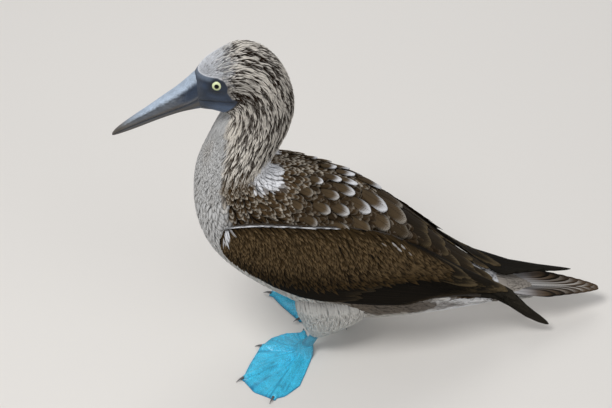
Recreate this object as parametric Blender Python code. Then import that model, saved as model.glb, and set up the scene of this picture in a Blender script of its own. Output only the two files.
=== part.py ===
"""Blue footed booby, standing, at life size.

The bird faces -Y, its left side is +X and +Z is up. The origin lies on the
floor, under the middle of the bird's length and width. Sizes below are in
millimetres; every mesh is scaled to metres as it is made.
"""

import math
import random

import bmesh
import bpy
from mathutils import Vector

MM = 0.001

# Space that touching pieces keep
GAP = 0.3

# Driving dimensions
TOTAL_LENGTH = 502.0
EYE_RADIUS = 6.6
FOOT_SPREAD = 30.5
FOOT_STAGGER = 45.0
LEFT_FOOT_Y = -67.5
HEEL_RISE = 42.0
HEEL_BACK = 29.0

# Body rings from the bill to the root of the tail. Each row holds the back's
# y and z, the belly's y and z, the half width, how far the widest level sinks
# below the middle, and how square the section is.
BODY = [
    (-169, 350, -166, 311.5, 14.0, 0.00, 2.0),
    (-163, 359, -161, 310, 16.5, 0.00, 2.0),
    (-154, 367.5, -152, 308, 19.5, 0.00, 2.0),
    (-134, 377, -141, 304, 25.0, 0.00, 2.1),
    (-119, 378.5, -138, 302, 27.0, 0.00, 2.1),
    (-103, 371.5, -138, 300, 28.5, 0.00, 2.1),
    (-89.5, 357, -140, 297.5, 29.0, 0.00, 2.1),
    (-80, 338, -144, 293.5, 29.5, 0.00, 2.0),
    (-75, 317, -149, 286, 30.0, 0.00, 2.0),
    (-75, 298, -154.5, 276, 30.5, 0.00, 2.0),
    (-80, 279, -160.5, 264, 31.5, 0.00, 2.0),
    (-88, 262, -166.5, 250, 33.0, 0.00, 2.0),
    (-95.5, 249.5, -171, 235, 35.5, 0.00, 2.0),
    (-98, 241.5, -173.5, 216, 39.0, -0.05, 2.0),
    (-90, 236.5, -174, 194, 43.0, -0.10, 2.1),
    (-80, 232, -171.5, 172, 46.0, -0.12, 2.1),
    (-67, 227.5, -164, 150, 48.0, -0.12, 2.2),
    (-52, 220, -150, 127, 49.5, -0.12, 2.2),
    (-33.5, 210.5, -127, 103, 50.5, -0.12, 2.3),
    (-11, 197.5, -95, 76, 50.5, -0.12, 2.3),
    (10, 180, -58, 51, 49.5, -0.12, 2.4),
    (32, 156.5, -18, 36, 47.5, -0.12, 2.4),
    (56, 131, 22, 30, 43.5, -0.10, 2.3),
    (80, 104, 62, 28.5, 37.5, -0.08, 2.2),
    (104, 80, 100, 28, 30.0, -0.05, 2.1),
    (126, 61.5, 126, 28, 23.0, 0.00, 2.0),
    (140, 51.5, 140, 29.5, 18.5, 0.00, 2.0),
]
HEAD_END = 8
NECK_END = 12
TORSO_END = 26
RING_SIDES = 24

# Side outline of the bare skin of the face, back from the bill
FACE_OUTLINE = [
    (-182, 354.5), (-155, 355), (-149, 355.4), (-143.2, 353.2), (-140.4, 348.4),
    (-140.8, 341.5), (-137, 334.8), (-131.5, 331.5), (-134, 325.5), (-141, 315),
    (-149, 300), (-182, 300),
]
EYE_CENTRE = (15.2, -149.0, 347.0)
GAPE = (-131.5, 331.5)
BILL_MOUTH = (-168.0, 329.0)

# Bill sections: y and z of the ridge, z of the mouth line, y and z of the keel,
# half width
BILL = [
    (-169.4, 350.0, 329.5, -166.4, 311.5, 13.8),
    (-176, 343.6, 325.0, -174, 311.0, 13.2),
    (-186, 335.0, 319.5, -185, 309.0, 11.6),
    (-200, 325.3, 312.8, -199.6, 304.0, 9.4),
    (-214, 315.5, 306.0, -214, 298.0, 7.2),
    (-228, 306.2, 299.2, -228, 292.0, 5.2),
    (-240, 297.6, 293.0, -240, 287.6, 3.6),
    (-247.5, 291.4, 288.4, -247.5, 285.2, 2.2),
    (-251, 287.0, 285.6, -251, 284.6, 0.9),
]
BILL_SIDES = 8


def smooth(rows, u):
    """Values of the rows at place u, on a smooth curve through all of them."""
    last = len(rows) - 1
    u = min(max(u, 0.0), float(last))
    i = min(int(u), last - 1)
    t = u - i
    a = rows[max(i - 1, 0)]
    b = rows[i]
    c = rows[i + 1]
    d = rows[min(i + 2, last)]
    values = []
    for p, q, r, s in zip(a, b, c, d):
        value = 2 * q + (r - p) * t + (2 * p - 5 * q + 4 * r - s) * t * t
        value += (3 * q - p - 3 * r + s) * t ** 3
        values.append(value / 2)
    return values


def mix(a, b, t):
    return a + (b - a) * t


def power(value, exponent):
    return math.copysign(abs(value) ** exponent, value)


def body_point(u, angle, out=0.0, slide=0.0):
    """A point of the body: angle 0 is the left side and 90 degrees the back."""
    top_y, top_z, low_y, low_z, half, sink, square = smooth(BODY, u)
    rise_y = (top_y - low_y) / 2
    rise_z = (top_z - low_z) / 2
    size = math.hypot(rise_y, rise_z)
    rise = Vector((0, rise_y, rise_z)) / size
    normal = rise.cross(Vector((1, 0, 0)))
    across = power(math.cos(angle), 2 / square)
    up = power(math.sin(angle), 2 / square)
    up += sink * (1 - up * up)
    middle = Vector((0, (top_y + low_y) / 2, (top_z + low_z) / 2))
    return (
        middle
        + rise * up * (size + out)
        + Vector((1, 0, 0)) * across * (half + out)
        + normal * slide
    )


def body_side(y, z):
    """Half width of the body at a place seen from the side, or 0 off the body."""
    low = float(NECK_END)
    high = float(TORSO_END)

    def along(u):
        top_y, top_z, low_y, low_z = smooth(BODY, u)[:4]
        run_y = (y - (top_y + low_y) / 2) * (top_z - low_z)
        return run_y - (z - (top_z + low_z) / 2) * (top_y - low_y)

    if along(low) < 0 or along(high) > 0:
        return 0.0
    for _ in range(24):
        middle = (low + high) / 2
        if along(middle) > 0:
            low = middle
        else:
            high = middle
    top_y, top_z, low_y, low_z, half, sink, square = smooth(BODY, low)
    size = math.hypot(top_y - low_y, top_z - low_z) / 2
    rise_y = y - (top_y + low_y) / 2
    rise_z = z - (top_z + low_z) / 2
    up = (rise_y * (top_y - low_y) + rise_z * (top_z - low_z)) / (2 * size * size)
    if abs(up) >= 1:
        return 0.0
    if sink:
        up = (1 - math.sqrt(1 - 4 * sink * (up - sink))) / (2 * sink)
    return half * (1 - abs(up) ** square) ** (1 / square)


def new_object(name, mesh):
    obj = bpy.data.objects.new(name, mesh)
    bpy.context.scene.collection.objects.link(obj)
    return obj


def from_bmesh(name, bm):
    """Close a mesh off as an object, with its faces pointing out."""
    bmesh.ops.recalc_face_normals(bm, faces=bm.faces)
    if bm.calc_volume(signed=True) < 0:
        bmesh.ops.reverse_faces(bm, faces=bm.faces)
    mesh = bpy.data.meshes.new(name)
    bm.to_mesh(mesh)
    bm.free()
    return new_object(name, mesh)


def loft(name, rings):
    """A closed skin through rings of points, flat at both ends."""
    bm = bmesh.new()
    rows = [[bm.verts.new(Vector(p) * MM) for p in ring] for ring in rings]
    for low, high in zip(rows, rows[1:]):
        count = len(low)
        for k in range(count):
            n = (k + 1) % count
            bm.faces.new((low[k], low[n], high[n]))
            bm.faces.new((low[k], high[n], high[k]))
    bm.faces.new(rows[0])
    bm.faces.new(rows[-1])
    return from_bmesh(name, bm)


def slab(name, outer, inner):
    """A closed plate between two like grids of points."""
    bm = bmesh.new()
    sheets = [[[bm.verts.new(Vector(p) * MM) for p in row] for row in grid]
              for grid in (outer, inner)]
    rows = len(outer)
    columns = len(outer[0])
    for sheet in sheets:
        for i in range(rows - 1):
            for j in range(columns - 1):
                corners = (sheet[i][j], sheet[i + 1][j], sheet[i + 1][j + 1], sheet[i][j + 1])
                bm.faces.new((corners[0], corners[1], corners[2]))
                bm.faces.new((corners[0], corners[2], corners[3]))
    rim = [(i, 0) for i in range(rows)]
    rim += [(rows - 1, j) for j in range(1, columns)]
    rim += [(i, columns - 1) for i in range(rows - 2, -1, -1)]
    rim += [(0, j) for j in range(columns - 2, 0, -1)]
    for (i, j), (k, m) in zip(rim, rim[1:] + rim[:1]):
        bm.faces.new((sheets[0][i][j], sheets[0][k][m], sheets[1][k][m]))
        bm.faces.new((sheets[0][i][j], sheets[1][k][m], sheets[1][i][j]))
    return from_bmesh(name, bm)


def prism(name, outline, x_low, x_high):
    """A solid with a side outline of (y, z) points, between two values of x."""
    return loft(name, [[(x, y, z) for y, z in outline] for x in (x_low, x_high)])


def ball(name, centre, radius, rows=8, columns=14):
    """A ball with its poles along X."""
    bm = bmesh.new()
    bmesh.ops.create_uvsphere(bm, u_segments=columns, v_segments=rows, radius=radius * MM)
    for vert in bm.verts:
        x, y, z = vert.co
        vert.co = Vector((z, x, y)) + Vector(centre) * MM
    return from_bmesh(name, bm)


def largest_surface(mesh):
    """Keep the closed surface of a mesh that holds the most space."""
    bm = bmesh.new()
    bm.from_mesh(mesh)
    bmesh.ops.triangulate(bm, faces=bm.faces)
    waiting = set(bm.faces)
    surfaces = []
    while waiting:
        stack = [waiting.pop()]
        surface = list(stack)
        while stack:
            for edge in stack.pop().edges:
                for face in edge.link_faces:
                    if face in waiting:
                        waiting.remove(face)
                        stack.append(face)
                        surface.append(face)
        volume = 0.0
        for face in surface:
            a, b, c = (vert.co for vert in face.verts)
            volume += a.dot(b.cross(c)) / 6
        surfaces.append((abs(volume), surface))
    surfaces.sort(key=lambda item: item[0])
    for _, surface in surfaces[:-1]:
        bmesh.ops.delete(bm, geom=surface, context="FACES")
    bm.to_mesh(mesh)
    bm.free()


def combine(obj, pieces, operation):
    """Join pieces to an object, or cut them out of it, and apply the result."""
    group = bpy.data.collections.new("pieces")
    bpy.context.scene.collection.children.link(group)
    for piece in pieces:
        group.objects.link(piece)
    modifier = obj.modifiers.new("pieces", "BOOLEAN")
    modifier.operation = operation
    modifier.operand_type = "COLLECTION"
    modifier.collection = group
    modifier.solver = "EXACT"
    bpy.context.view_layer.update()
    result = obj.evaluated_get(bpy.context.evaluated_depsgraph_get())
    mesh = bpy.data.meshes.new_from_object(result)
    obj.modifiers.clear()
    obj.data = mesh
    for piece in pieces:
        bpy.data.objects.remove(piece)
    bpy.data.collections.remove(group)
    largest_surface(mesh)
    return obj


def finish(obj, colour, roughness, sharp=35):
    """Give an object its own material and smooth shading."""
    material = bpy.data.materials.new(obj.name)
    material.use_nodes = True
    shader = material.node_tree.nodes["Principled BSDF"]
    shader.inputs["Base Color"].default_value = (*colour, 1)
    shader.inputs["Roughness"].default_value = roughness
    shader.inputs["Metallic"].default_value = 0.0
    obj.data.materials.clear()
    obj.data.materials.append(material)
    obj.data.shade_smooth()
    obj.data.set_sharp_from_angle(angle=math.radians(sharp))
    return obj


BROWN = (0.085, 0.06, 0.042)
MOTTLED = (0.24, 0.18, 0.14)
STREAKED = (0.30, 0.235, 0.19)
WHITE = (0.62, 0.60, 0.56)
SLATE = (0.055, 0.085, 0.16)
BILL_GREY = (0.22, 0.28, 0.36)
FOOT_BLUE = (0.03, 0.33, 0.60)
CLAW_GREY = (0.09, 0.09, 0.10)
IRIS = (0.75, 0.72, 0.35)


def body_length(name, first, last, per_ring=2, out=0.0, shift=0.0):
    """A length of the body between two rings."""
    steps = int((last - first) * per_ring)
    rings = []
    for step in range(steps + 1):
        u = first + step / per_ring
        slide = shift if step == 0 else 0.0
        ring = [body_point(u, math.tau * k / RING_SIDES, out, slide) for k in range(RING_SIDES)]
        rings.append(ring)
    return loft(name, rings)


def eyeball(name, side, grow=0.0):
    x, y, z = EYE_CENTRE
    return ball(name, (side * x, y, z), EYE_RADIUS + grow)


def lid(name, side):
    """The raised ring of bare skin round an eye."""
    x, y, z = EYE_CENTRE
    centre = Vector((side * (x + 3.9), y, z))
    facing = Vector((side * 0.97, -0.22, 0.08)).normalized()
    up = Vector((0, 0, 1))
    along = up.cross(facing).normalized()
    up = facing.cross(along)
    bm = bmesh.new()
    turns = 16
    sides = 6
    rows = []
    for i in range(turns):
        a = math.tau * i / turns
        spoke = along * math.cos(a) * 6.3 + up * math.sin(a) * 5.7
        outward = spoke.normalized()
        row = []
        for k in range(sides):
            b = math.tau * k / sides
            point = centre + spoke
            point += outward * 1.3 * math.cos(b) + facing * 1.1 * math.sin(b)
            row.append(bm.verts.new(point * MM))
        rows.append(row)
    for i in range(turns):
        for k in range(sides):
            n = (k + 1) % sides
            j = (i + 1) % turns
            bm.faces.new((rows[i][k], rows[j][k], rows[j][n], rows[i][n]))
    return from_bmesh(name, bm)


def mouth_cut(name, side):
    """A shallow wedge along the face, from the bill to the corner of the mouth."""
    rings = []
    for t in (0.0, 0.5, 0.93):
        y = mix(BILL_MOUTH[0] - 4 * (t == 0), GAPE[0], t)
        z = mix(BILL_MOUTH[1], GAPE[1], t) - 1.5 * math.sin(math.pi * t)
        inner = mix(12.6, 24.0, t ** 0.8)
        tall = mix(0.8, 0.3, t)
        rings.append([
            (side * inner, y, z),
            (side * (inner + 14), y, z + tall * 4),
            (side * (inner + 14), y, z - tall * 4),
        ])
    return loft(name, rings)


def grown(outline, amount):
    """A side outline pushed out evenly by an amount."""
    middle_y = sum(p[0] for p in outline) / len(outline)
    middle_z = sum(p[1] for p in outline) / len(outline)
    result = []
    count = len(outline)
    for i, (y, z) in enumerate(outline):
        before = outline[i - 1]
        after = outline[(i + 1) % count]
        run_y = after[0] - before[0]
        run_z = after[1] - before[1]
        size = math.hypot(run_y, run_z)
        side_y = run_z / size
        side_z = -run_y / size
        if side_y * (y - middle_y) + side_z * (z - middle_z) < 0:
            side_y = -side_y
            side_z = -side_z
        result.append((y + side_y * amount, z + side_z * amount))
    return result


def make_head():
    """The feathered head and the bare face, parted along the feathers' edge."""
    head = body_length("head", 0, HEAD_END)
    face = body_length("face", 0, HEAD_END)
    wide = 60
    combine(face, [prism("keep", FACE_OUTLINE, -wide, wide)], "INTERSECT")
    combine(head, [prism("cut", grown(FACE_OUTLINE, GAP * 1.4), -wide, wide)], "DIFFERENCE")
    combine(face, [lid("lid_left", 1), lid("lid_right", -1)], "UNION")
    cuts = [eyeball("socket_left", 1, GAP), eyeball("socket_right", -1, GAP)]
    cuts += [mouth_cut("mouth_left", 1), mouth_cut("mouth_right", -1)]
    combine(face, cuts, "DIFFERENCE")
    finish(head, STREAKED, 0.85)
    finish(face, SLATE, 0.5)
    for side, name in ((1, "left_eye"), (-1, "right_eye")):
        finish(eyeball(name, side), IRIS, 0.1)


def make_bill():
    """Both mandibles, parted along the line of the mouth."""
    for name, upper in (("upper_mandible", True), ("lower_mandible", False)):
        rings = []
        for u in [i / 2 for i in range(2 * len(BILL) - 1)]:
            ridge_y, ridge, mouth, keel_y, keel, half = smooth(BILL, u)
            mouth_z = mouth + (GAP if upper else -GAP) / 2
            tall = ridge - mouth_z if upper else mouth_z - keel
            lean = (keel_y - ridge_y) / (ridge - keel)
            ring = []
            for k in range(BILL_SIDES + 1):
                a = math.pi * k / BILL_SIDES
                if not upper:
                    a = -a
                z = mouth_z + power(math.sin(a), 0.92) * tall
                ring.append((half * power(math.cos(a), 0.9), ridge_y + lean * (ridge - z), z))
            ring.append((0, ridge_y + lean * (ridge - mouth_z), mouth_z))
            rings.append(ring)
        finish(loft(name, rings), BILL_GREY, 0.4)


# Wing sheet, from the wrist back to the tip: the upper edge's x, y, z, the
# lower edge's x, y, z, how far the middle bulges out, and how far the sheet
# stands off the body at least
WING = [
    (42, -151, 190, 40, -153.5, 177, 1, 5),
    (46, -140, 198, 46, -148, 158, 4, 8),
    (47, -114, 199, 52, -122, 133, 5, 9),
    (47, -76, 191, 56, -78, 105, 5, 8),
    (44, -30, 179, 57, -32, 91, 4, 7),
    (37, 20, 157, 56, 20, 82, 4, 7),
    (31, 64, 118, 52, 60, 77, 3, 6),
    (23, 103, 82, 45, 97, 71, 2, 5),
]
LEFT_TIP = [
    (18, 132, 61, 40, 124, 62, 1, 4),
    (31, 150, 57, 39, 141, 49, 0, 2),
    (36, 171, 34, 38, 166, 26, 0, 2),
    (36, 194, 11, 36.5, 191, 8, 0, 2),
]
RIGHT_TIP = [
    (9, 131, 62.5, 40, 125, 62, 1, 4),
    (-3, 152, 54, 34, 151, 57, 0, 2),
    (5, 190, 46.5, 28, 189, 45, 0, 2),
    (15, 228, 38, 20, 228, 37, 0, 2),
]
CORE_LAST = 7.3
CORE_DEPTH = 9.0


def wing_sheet(rows):
    """The wing's outer surface: s runs from wrist to tip, v from upper to lower edge."""
    def at(s, v):
        ux, uy, uz, lx, ly, lz, bulge, stand = smooth(rows, s)
        x = mix(ux, lx, v) + bulge * 4 * v * (1 - v)
        y = mix(uy, ly, v)
        z = mix(uz, lz, v)
        side = body_side(y, z)
        if side:
            over = side + stand * (0.45 + 0.55 * math.sin(math.pi * min(1.0, 0.1 + v))) - x
            x += (over + math.hypot(over, 3.0)) / 2
        return Vector((x, y, z))

    def surface(s, v):
        step = 0.02
        along = at(s + step, v) - at(s - step, v)
        down = at(s, v + step) - at(s, v - step)
        return at(s, v), down.cross(along).normalized()

    return surface


def mirrored(points, side):
    return [(side * p[0], p[1], p[2]) for p in points]


def sheet_core(name, surface, side, first, last, depth, rows=12, columns=5):
    """A thick plate under a stretch of a sheet."""
    outer = []
    inner = []
    for i in range(rows + 1):
        s = mix(first, last, i / rows)
        top = []
        low = []
        for j in range(columns + 1):
            v = j / columns
            point, normal = surface(s, v)
            thin = depth * (1 - 0.75 * (i / rows) ** 2)
            top.append(point)
            low.append(point - normal * thin)
        outer.append(mirrored(top, side))
        inner.append(mirrored(low, side))
    return slab(name, outer, inner)


# Rings and angles of the torso that the shoulder feathers of a side cover
SHIELD_RINGS = (12.8, 24.2)
SHIELD_ANGLES = (68, 14)
SHIELD_RISE = 2.6


def shield_sheet():
    """The surface over the shoulder: s runs back along the body, v down the side."""
    def at(s, v):
        u = mix(*SHIELD_RINGS, s)
        return body_point(u, math.radians(mix(*SHIELD_ANGLES, v)), SHIELD_RISE)

    def surface(s, v):
        step = 0.01
        along = at(s + step, v) - at(s - step, v)
        down = at(s, v + step) - at(s, v - step)
        return at(s, v), down.cross(along).normalized()

    return surface


# Steps along a feather and its width at each, and the thickness of its edges
# and of its middle
VANE_STEPS = (0.0, 0.35, 0.8, 1.0)
VANE_WIDTHS = (0.62, 1.0, 0.86, 0.36)
VANE_EDGE = 0.6
VANE_SHAFT = 1.5


def vane(surface, side, root, tip, half, lift, tilt):
    """A stiff feather lying along a sheet, one edge higher than the other."""
    outer = []
    inner = []
    for t, wide in zip(VANE_STEPS, VANE_WIDTHS):
        s = mix(root[0], tip[0], t)
        v = mix(root[1], tip[1], t)
        point, normal = surface(s, v)
        along = surface(s + 0.02 * (tip[0] - root[0]), v + 0.02 * (tip[1] - root[1]))[0] - point
        down = along.cross(normal).normalized()
        height = mix(lift[0], lift[1], t)
        top = []
        low = []
        for place, thick in ((-1, VANE_EDGE), (0, VANE_SHAFT), (1, VANE_EDGE)):
            middle = point + down * place * half * wide + normal * (height + tilt * place)
            top.append(middle + normal * thick / 2)
            low.append(middle - normal * thick / 2)
        outer.append(mirrored(top, side))
        inner.append(mirrored(low, side))
    return slab("feather", outer, inner)


# Tiers of a wing's feathers: number, root s and v of the first and the last,
# tip s and v of the first and the last, half width, lift at root and tip
PRIMARIES = (5, (6.2, 0.15), (6.6, 0.75), (9.9, 0.25), (10.9, 0.5), 5.6, (-2.2, 0.2))
SECONDARIES = (6, (3.7, 0.33), (3.9, 0.92), (8.1, 0.5), (6.1, 0.97), 9.0, (-1.8, 1.0))
TERTIALS = (3, (3.4, 0.08), (3.5, 0.30), (8.5, 0.15), (7.9, 0.42), 9.5, (-1.5, 2.0))
COVERTS = (6, (2.2, 0.12), (2.3, 0.92), (5.0, 0.2), (4.6, 0.93), 10.5, (-1.6, 2.6))
SHOULDER_TIERS = (
    (3, (0.06, 0.2), (0.06, 0.75), (0.42, 0.2), (0.46, 0.78), 11.0, (-2.2, 1.0)),
    (3, (0.32, 0.12), (0.34, 0.7), (0.70, 0.2), (0.74, 0.8), 10.5, (-2.2, 0.8)),
    (3, (0.55, 0.15), (0.58, 0.65), (0.97, 0.3), (0.99, 0.75), 9.0, (-2.2, 0.6)),
)


def tier(surface, side, feathers, seed):
    """One tier of feathers, laid from the upper one to the lower one."""
    count, root_first, root_last, tip_first, tip_last, half, lift = feathers
    chance = random.Random(seed)
    spread = (tip_first[0] - root_first[0]) * 0.035
    vanes = []
    for i in range(count):
        t = i / (count - 1)
        root = (mix(root_first[0], root_last[0], t), mix(root_first[1], root_last[1], t))
        tip = (mix(tip_first[0], tip_last[0], t) + chance.uniform(-spread, spread),
               mix(tip_first[1], tip_last[1], t))
        wide = half * chance.uniform(0.94, 1.04)
        high = (lift[0], lift[1] + chance.uniform(-0.15, 0.15))
        vanes.append(vane(surface, side, root, tip, wide, high, 0.7))
    return vanes


def make_wings():
    """The folded wings: a thick core, its flight feathers and the shoulder's."""
    for side, name, ends in ((1, "left_wing", LEFT_TIP), (-1, "right_wing", RIGHT_TIP)):
        surface = wing_sheet(WING + ends)
        shoulder = shield_sheet()
        wing = sheet_core(name, surface, side, 0, CORE_LAST, CORE_DEPTH)
        pieces = [sheet_core("shield", shoulder, side, 0, 1, 5.0, 8, 4)]
        for number, feathers in enumerate((PRIMARIES, SECONDARIES, TERTIALS, COVERTS)):
            pieces += tier(surface, side, feathers, number)
        for number, feathers in enumerate(SHOULDER_TIERS):
            pieces += tier(shoulder, side, feathers, 10 + number)
        combine(wing, pieces, "UNION")
        combine(wing, [body_length("room", HEAD_END, TORSO_END, 1, GAP * 2)], "DIFFERENCE")
        finish(wing, BROWN, 0.75)


# Tail: its fleshy root's rows of y, z, half width and half thickness, the
# line that its feathers lie on, and the feathers
TAIL_ROOT = [(140.0 + GAP, 42.2, 18.3, 9.6), (158, 37.8, 19, 6.5), (178, 33.5, 13, 2.5)]
TAIL_LINE = [(140, 42), (162, 37), (187, 32.5), (215, 28.5), (237, 25.3), (252, 23.5)]
TAIL_FEATHERS = 12
TAIL_SPREAD = 16.5
TAIL_STEP = 56.0


def tail_sheet(s, v):
    """The tail's surface: s runs from root to tip, v from the left side to the right."""
    y, z = smooth(TAIL_LINE, s)
    ahead = smooth(TAIL_LINE, s + 0.01)
    normal = Vector((0, -(ahead[1] - z), ahead[0] - y)).normalized()
    return Vector((-v * TAIL_SPREAD, y, z)), normal


def make_tail():
    """The closed, wedge shaped tail: graduated feathers on a root."""
    rings = []
    for y, z, half, thick in TAIL_ROOT:
        rings.append([(half * math.cos(math.tau * k / 16), y, z + thick * math.sin(math.tau * k / 16))
                      for k in range(16)])
    tail = loft("tail", rings)
    feathers = []
    for i in range(TAIL_FEATHERS):
        v = 2 * i / (TAIL_FEATHERS - 1) - 1
        tip_y = TOTAL_LENGTH / 2 - TAIL_STEP * max(0.0, abs(v) - 1 / (TAIL_FEATHERS - 1)) ** 1.3
        last = len(TAIL_LINE) - 1
        low = 0.0
        for _ in range(20):
            middle = (low + last) / 2
            if smooth(TAIL_LINE, middle)[0] < tip_y:
                low = middle
            else:
                last = middle
        sink = -4.2 * abs(v)
        feathers.append(vane(tail_sheet, 1, (0.75, v * 0.8), (low, v), 6.6, (sink, sink),
                             math.copysign(0.5, -v)))
    combine(tail, feathers, "UNION")
    finish(tail, WHITE, 0.7)


# Toes from the outer one in: direction, reach and half width
TOES = [
    (57.0, 78.0, 4.2),
    (25.0, 77.0, 4.4),
    (-16.0, 47.0, 4.0),
    (-95.0, 29.0, 3.2),
]
# The foot's outline round the ankle, as directions and reaches
FOOT_OUTLINE = [
    (-180, 9), (-140, 10), (-112, 20), (-95, 29), (-62, 34), (-38, 40.5), (-16, 47),
    (12, 61.5), (25, 76.5), (41, 79.5), (57, 77.5), (65, 69), (76, 51), (82, 34),
    (102, 16), (140, 10), (180, 9),
]
ANKLE_TOP = 12.5
ANKLE_RADIUS = 6.5


def foot_places(side):
    """Where each foot's ankle stands on the floor."""
    return Vector((side * FOOT_SPREAD, LEFT_FOOT_Y + (FOOT_STAGGER if side < 0 else 0), 0))


def foot_reach(angle):
    """How far the foot's outline lies from the ankle in a direction."""
    reach = 0.0
    for (low_angle, low), (high_angle, high) in zip(FOOT_OUTLINE, FOOT_OUTLINE[1:]):
        if low_angle <= angle <= high_angle:
            a = math.radians(angle - low_angle)
            b = math.radians(high_angle - angle)
            reach = low * high * math.sin(a + b) / (low * math.sin(a) + high * math.sin(b))
    for toe_angle, length, half in TOES:
        turn = math.radians(abs(angle - toe_angle))
        if turn < math.radians(60):
            ahead = length / math.cos(turn)
            beside = half * 0.7 / max(math.sin(turn), 0.0001)
            reach = max(reach, min(ahead, beside))
    return reach


def foot_height(angle, away):
    """Height of the foot's upper face: web, toes and ankle."""
    height = 2.2
    for toe_angle, length, half in TOES:
        turn = math.radians(angle - toe_angle)
        turn = math.atan2(math.sin(turn), math.cos(turn))
        if abs(turn) < math.pi / 2 and away < length:
            beside = away * math.sin(turn) / half
            t = away * math.cos(turn) / length
            ridge = mix(6.2, 3.0, t) + 0.5 * math.cos(t * 6 * math.pi)
            height = max(height, 2.2 + ridge * math.exp(-beside * beside * 1.3))
    return max(height, min(ANKLE_TOP, 22 * math.exp(-(away / 9.5) ** 2)))


def make_foot(name, side):
    """A webbed foot with its sole flat on the floor."""
    directions = {angle for angle, _ in FOOT_OUTLINE[:-1]}
    directions |= {-160, -125, -80, -50, -28, -2, 5, 33, 49, 92, 120, 160}
    for toe_angle, length, half in TOES:
        width = math.degrees(math.atan2(half * 0.7, length))
        directions.discard(toe_angle)
        directions |= {toe_angle - width, toe_angle - width * 0.3}
        directions |= {toe_angle + width * 0.3, toe_angle + width}
        directions |= {toe_angle - width * 2, toe_angle + width * 2}
    directions = sorted(directions)
    base = foot_places(side)
    steps = (0.0, 0.16, 0.3, 0.45, 0.6, 0.75, 0.9, 1.0)
    bm = bmesh.new()

    def place(angle, away, height):
        a = math.radians(angle)
        point = base + Vector((side * away * math.sin(a), -away * math.cos(a), height))
        return bm.verts.new(point * MM)

    rows = []
    for angle in directions:
        reach = foot_reach(angle)
        row = [place(angle, mix(ANKLE_RADIUS, reach, t),
                     foot_height(angle, mix(ANKLE_RADIUS, reach, t)) if t else ANKLE_TOP)
               for t in steps]
        row.append(place(angle, reach, 0.0))
        rows.append(row)
    for row, after in zip(rows, rows[1:] + rows[:1]):
        for j in range(len(row) - 1):
            bm.faces.new((row[j], after[j], after[j + 1], row[j + 1]))
    bm.faces.new([row[0] for row in rows])
    bm.faces.new([row[-1] for row in rows])
    bmesh.ops.triangulate(bm, faces=bm.faces)
    return finish(from_bmesh(name, bm), FOOT_BLUE, 0.5)


def make_claw(name, side, toe):
    """A curved claw off the end of a toe, clear of the floor."""
    angle, length, _ = TOES[toe]
    a = math.radians(angle)
    ahead = Vector((side * math.sin(a), -math.cos(a), 0))
    across = Vector((ahead.y, -ahead.x, 0))
    base = foot_places(side) + ahead * (length + GAP)
    size = 8.0 if toe < 2 else 6.5
    rings = []
    for t in (0.0, 0.35, 0.7, 1.0):
        height = mix(2.9, 1.0, t * t)
        radius = mix(2.0, 0.35, t)
        middle = base + ahead * size * t + Vector((0, 0, height))
        rings.append([middle + across * radius * 0.8 * math.cos(b) + Vector((0, 0, radius * math.sin(b)))
                      for b in (math.tau * k / 8 for k in range(8))])
    return finish(loft(name, rings), CLAW_GREY, 0.4)


# Feathered thigh rings: height, half width, and how far back of the ankle the
# front and the rear lie
THIGH = [
    (27.3, 8, 5, 22), (31, 10.5, 3, 31), (36.5, 13, 0, 45), (45, 15.5, -3, 60),
    (58, 17, -8, 72), (84, 17, -12, 70),
]


def leg_place(side, height):
    """A point on the axis of the shank at a height over the floor."""
    t = (height - ANKLE_TOP) / HEEL_RISE
    return foot_places(side) + Vector((0, 3 + HEEL_BACK * t, height))


def make_leg(label, side):
    """Foot, claws, shank and the feathered thigh above it."""
    make_foot(f"{label}_foot", side)
    for toe in range(len(TOES)):
        make_claw(f"{label}_claw_{toe + 1}", side, toe)
    rings = []
    for t in (0.0, 0.25, 0.6, 1.0):
        height = mix(ANKLE_TOP + GAP, THIGH[0][0] - GAP, t)
        radius = mix(6.2, 5.0, min(1.0, t * 2))
        middle = leg_place(side, height)
        rings.append([middle + Vector((radius * 0.85 * math.cos(b), radius * math.sin(b), 0))
                      for b in (math.tau * k / 12 for k in range(12))])
    finish(loft(f"{label}_shank", rings), FOOT_BLUE, 0.5)
    rings = []
    for height, half, front, rear in THIGH:
        middle = foot_places(side) + Vector((0, (front + rear) / 2, height))
        deep = (rear - front) / 2
        rings.append([middle + Vector((half * math.cos(b), deep * math.sin(b), 0))
                      for b in (math.tau * k / 16 for k in range(16))])
    thigh = loft(f"{label}_thigh", rings)
    combine(thigh, [body_length("room", NECK_END, TORSO_END, 2, GAP * 1.5)], "DIFFERENCE")
    finish(thigh, WHITE, 0.9)


def main():
    for obj in list(bpy.data.objects):
        bpy.data.objects.remove(obj)
    make_head()
    make_bill()
    finish(body_length("neck", HEAD_END, NECK_END, 2, 0.0, GAP), STREAKED, 0.85)
    finish(body_length("torso", NECK_END, TORSO_END, 2, 0.0, GAP), WHITE, 0.9)
    make_wings()
    make_tail()
    make_leg("left", 1)
    make_leg("right", -1)


main()
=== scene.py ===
"""Looks of a standing blue footed booby: skin, plumage, bill, eyes and feet.

The bird faces -Y, its left side is +X and the floor is z = 0. Shapes are worked
out in millimetres and written to meshes in metres.
"""

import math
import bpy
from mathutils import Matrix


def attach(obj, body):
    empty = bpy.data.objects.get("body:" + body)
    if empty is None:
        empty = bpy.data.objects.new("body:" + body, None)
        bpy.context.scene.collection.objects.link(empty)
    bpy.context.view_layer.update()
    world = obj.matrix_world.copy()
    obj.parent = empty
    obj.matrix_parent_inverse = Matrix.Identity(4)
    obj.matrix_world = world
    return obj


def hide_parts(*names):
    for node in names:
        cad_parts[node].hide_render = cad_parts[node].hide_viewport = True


bl_info = {
    "name": "Blue footed booby",
    "version": (1, 0, 0),
    "blender": (4, 5, 0),
    "location": "3D View > Sidebar > Booby",
    "description": "Builds the skin, plumage, bill, eyes, feet and stage of a booby",
    "category": "Object",
}

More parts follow.
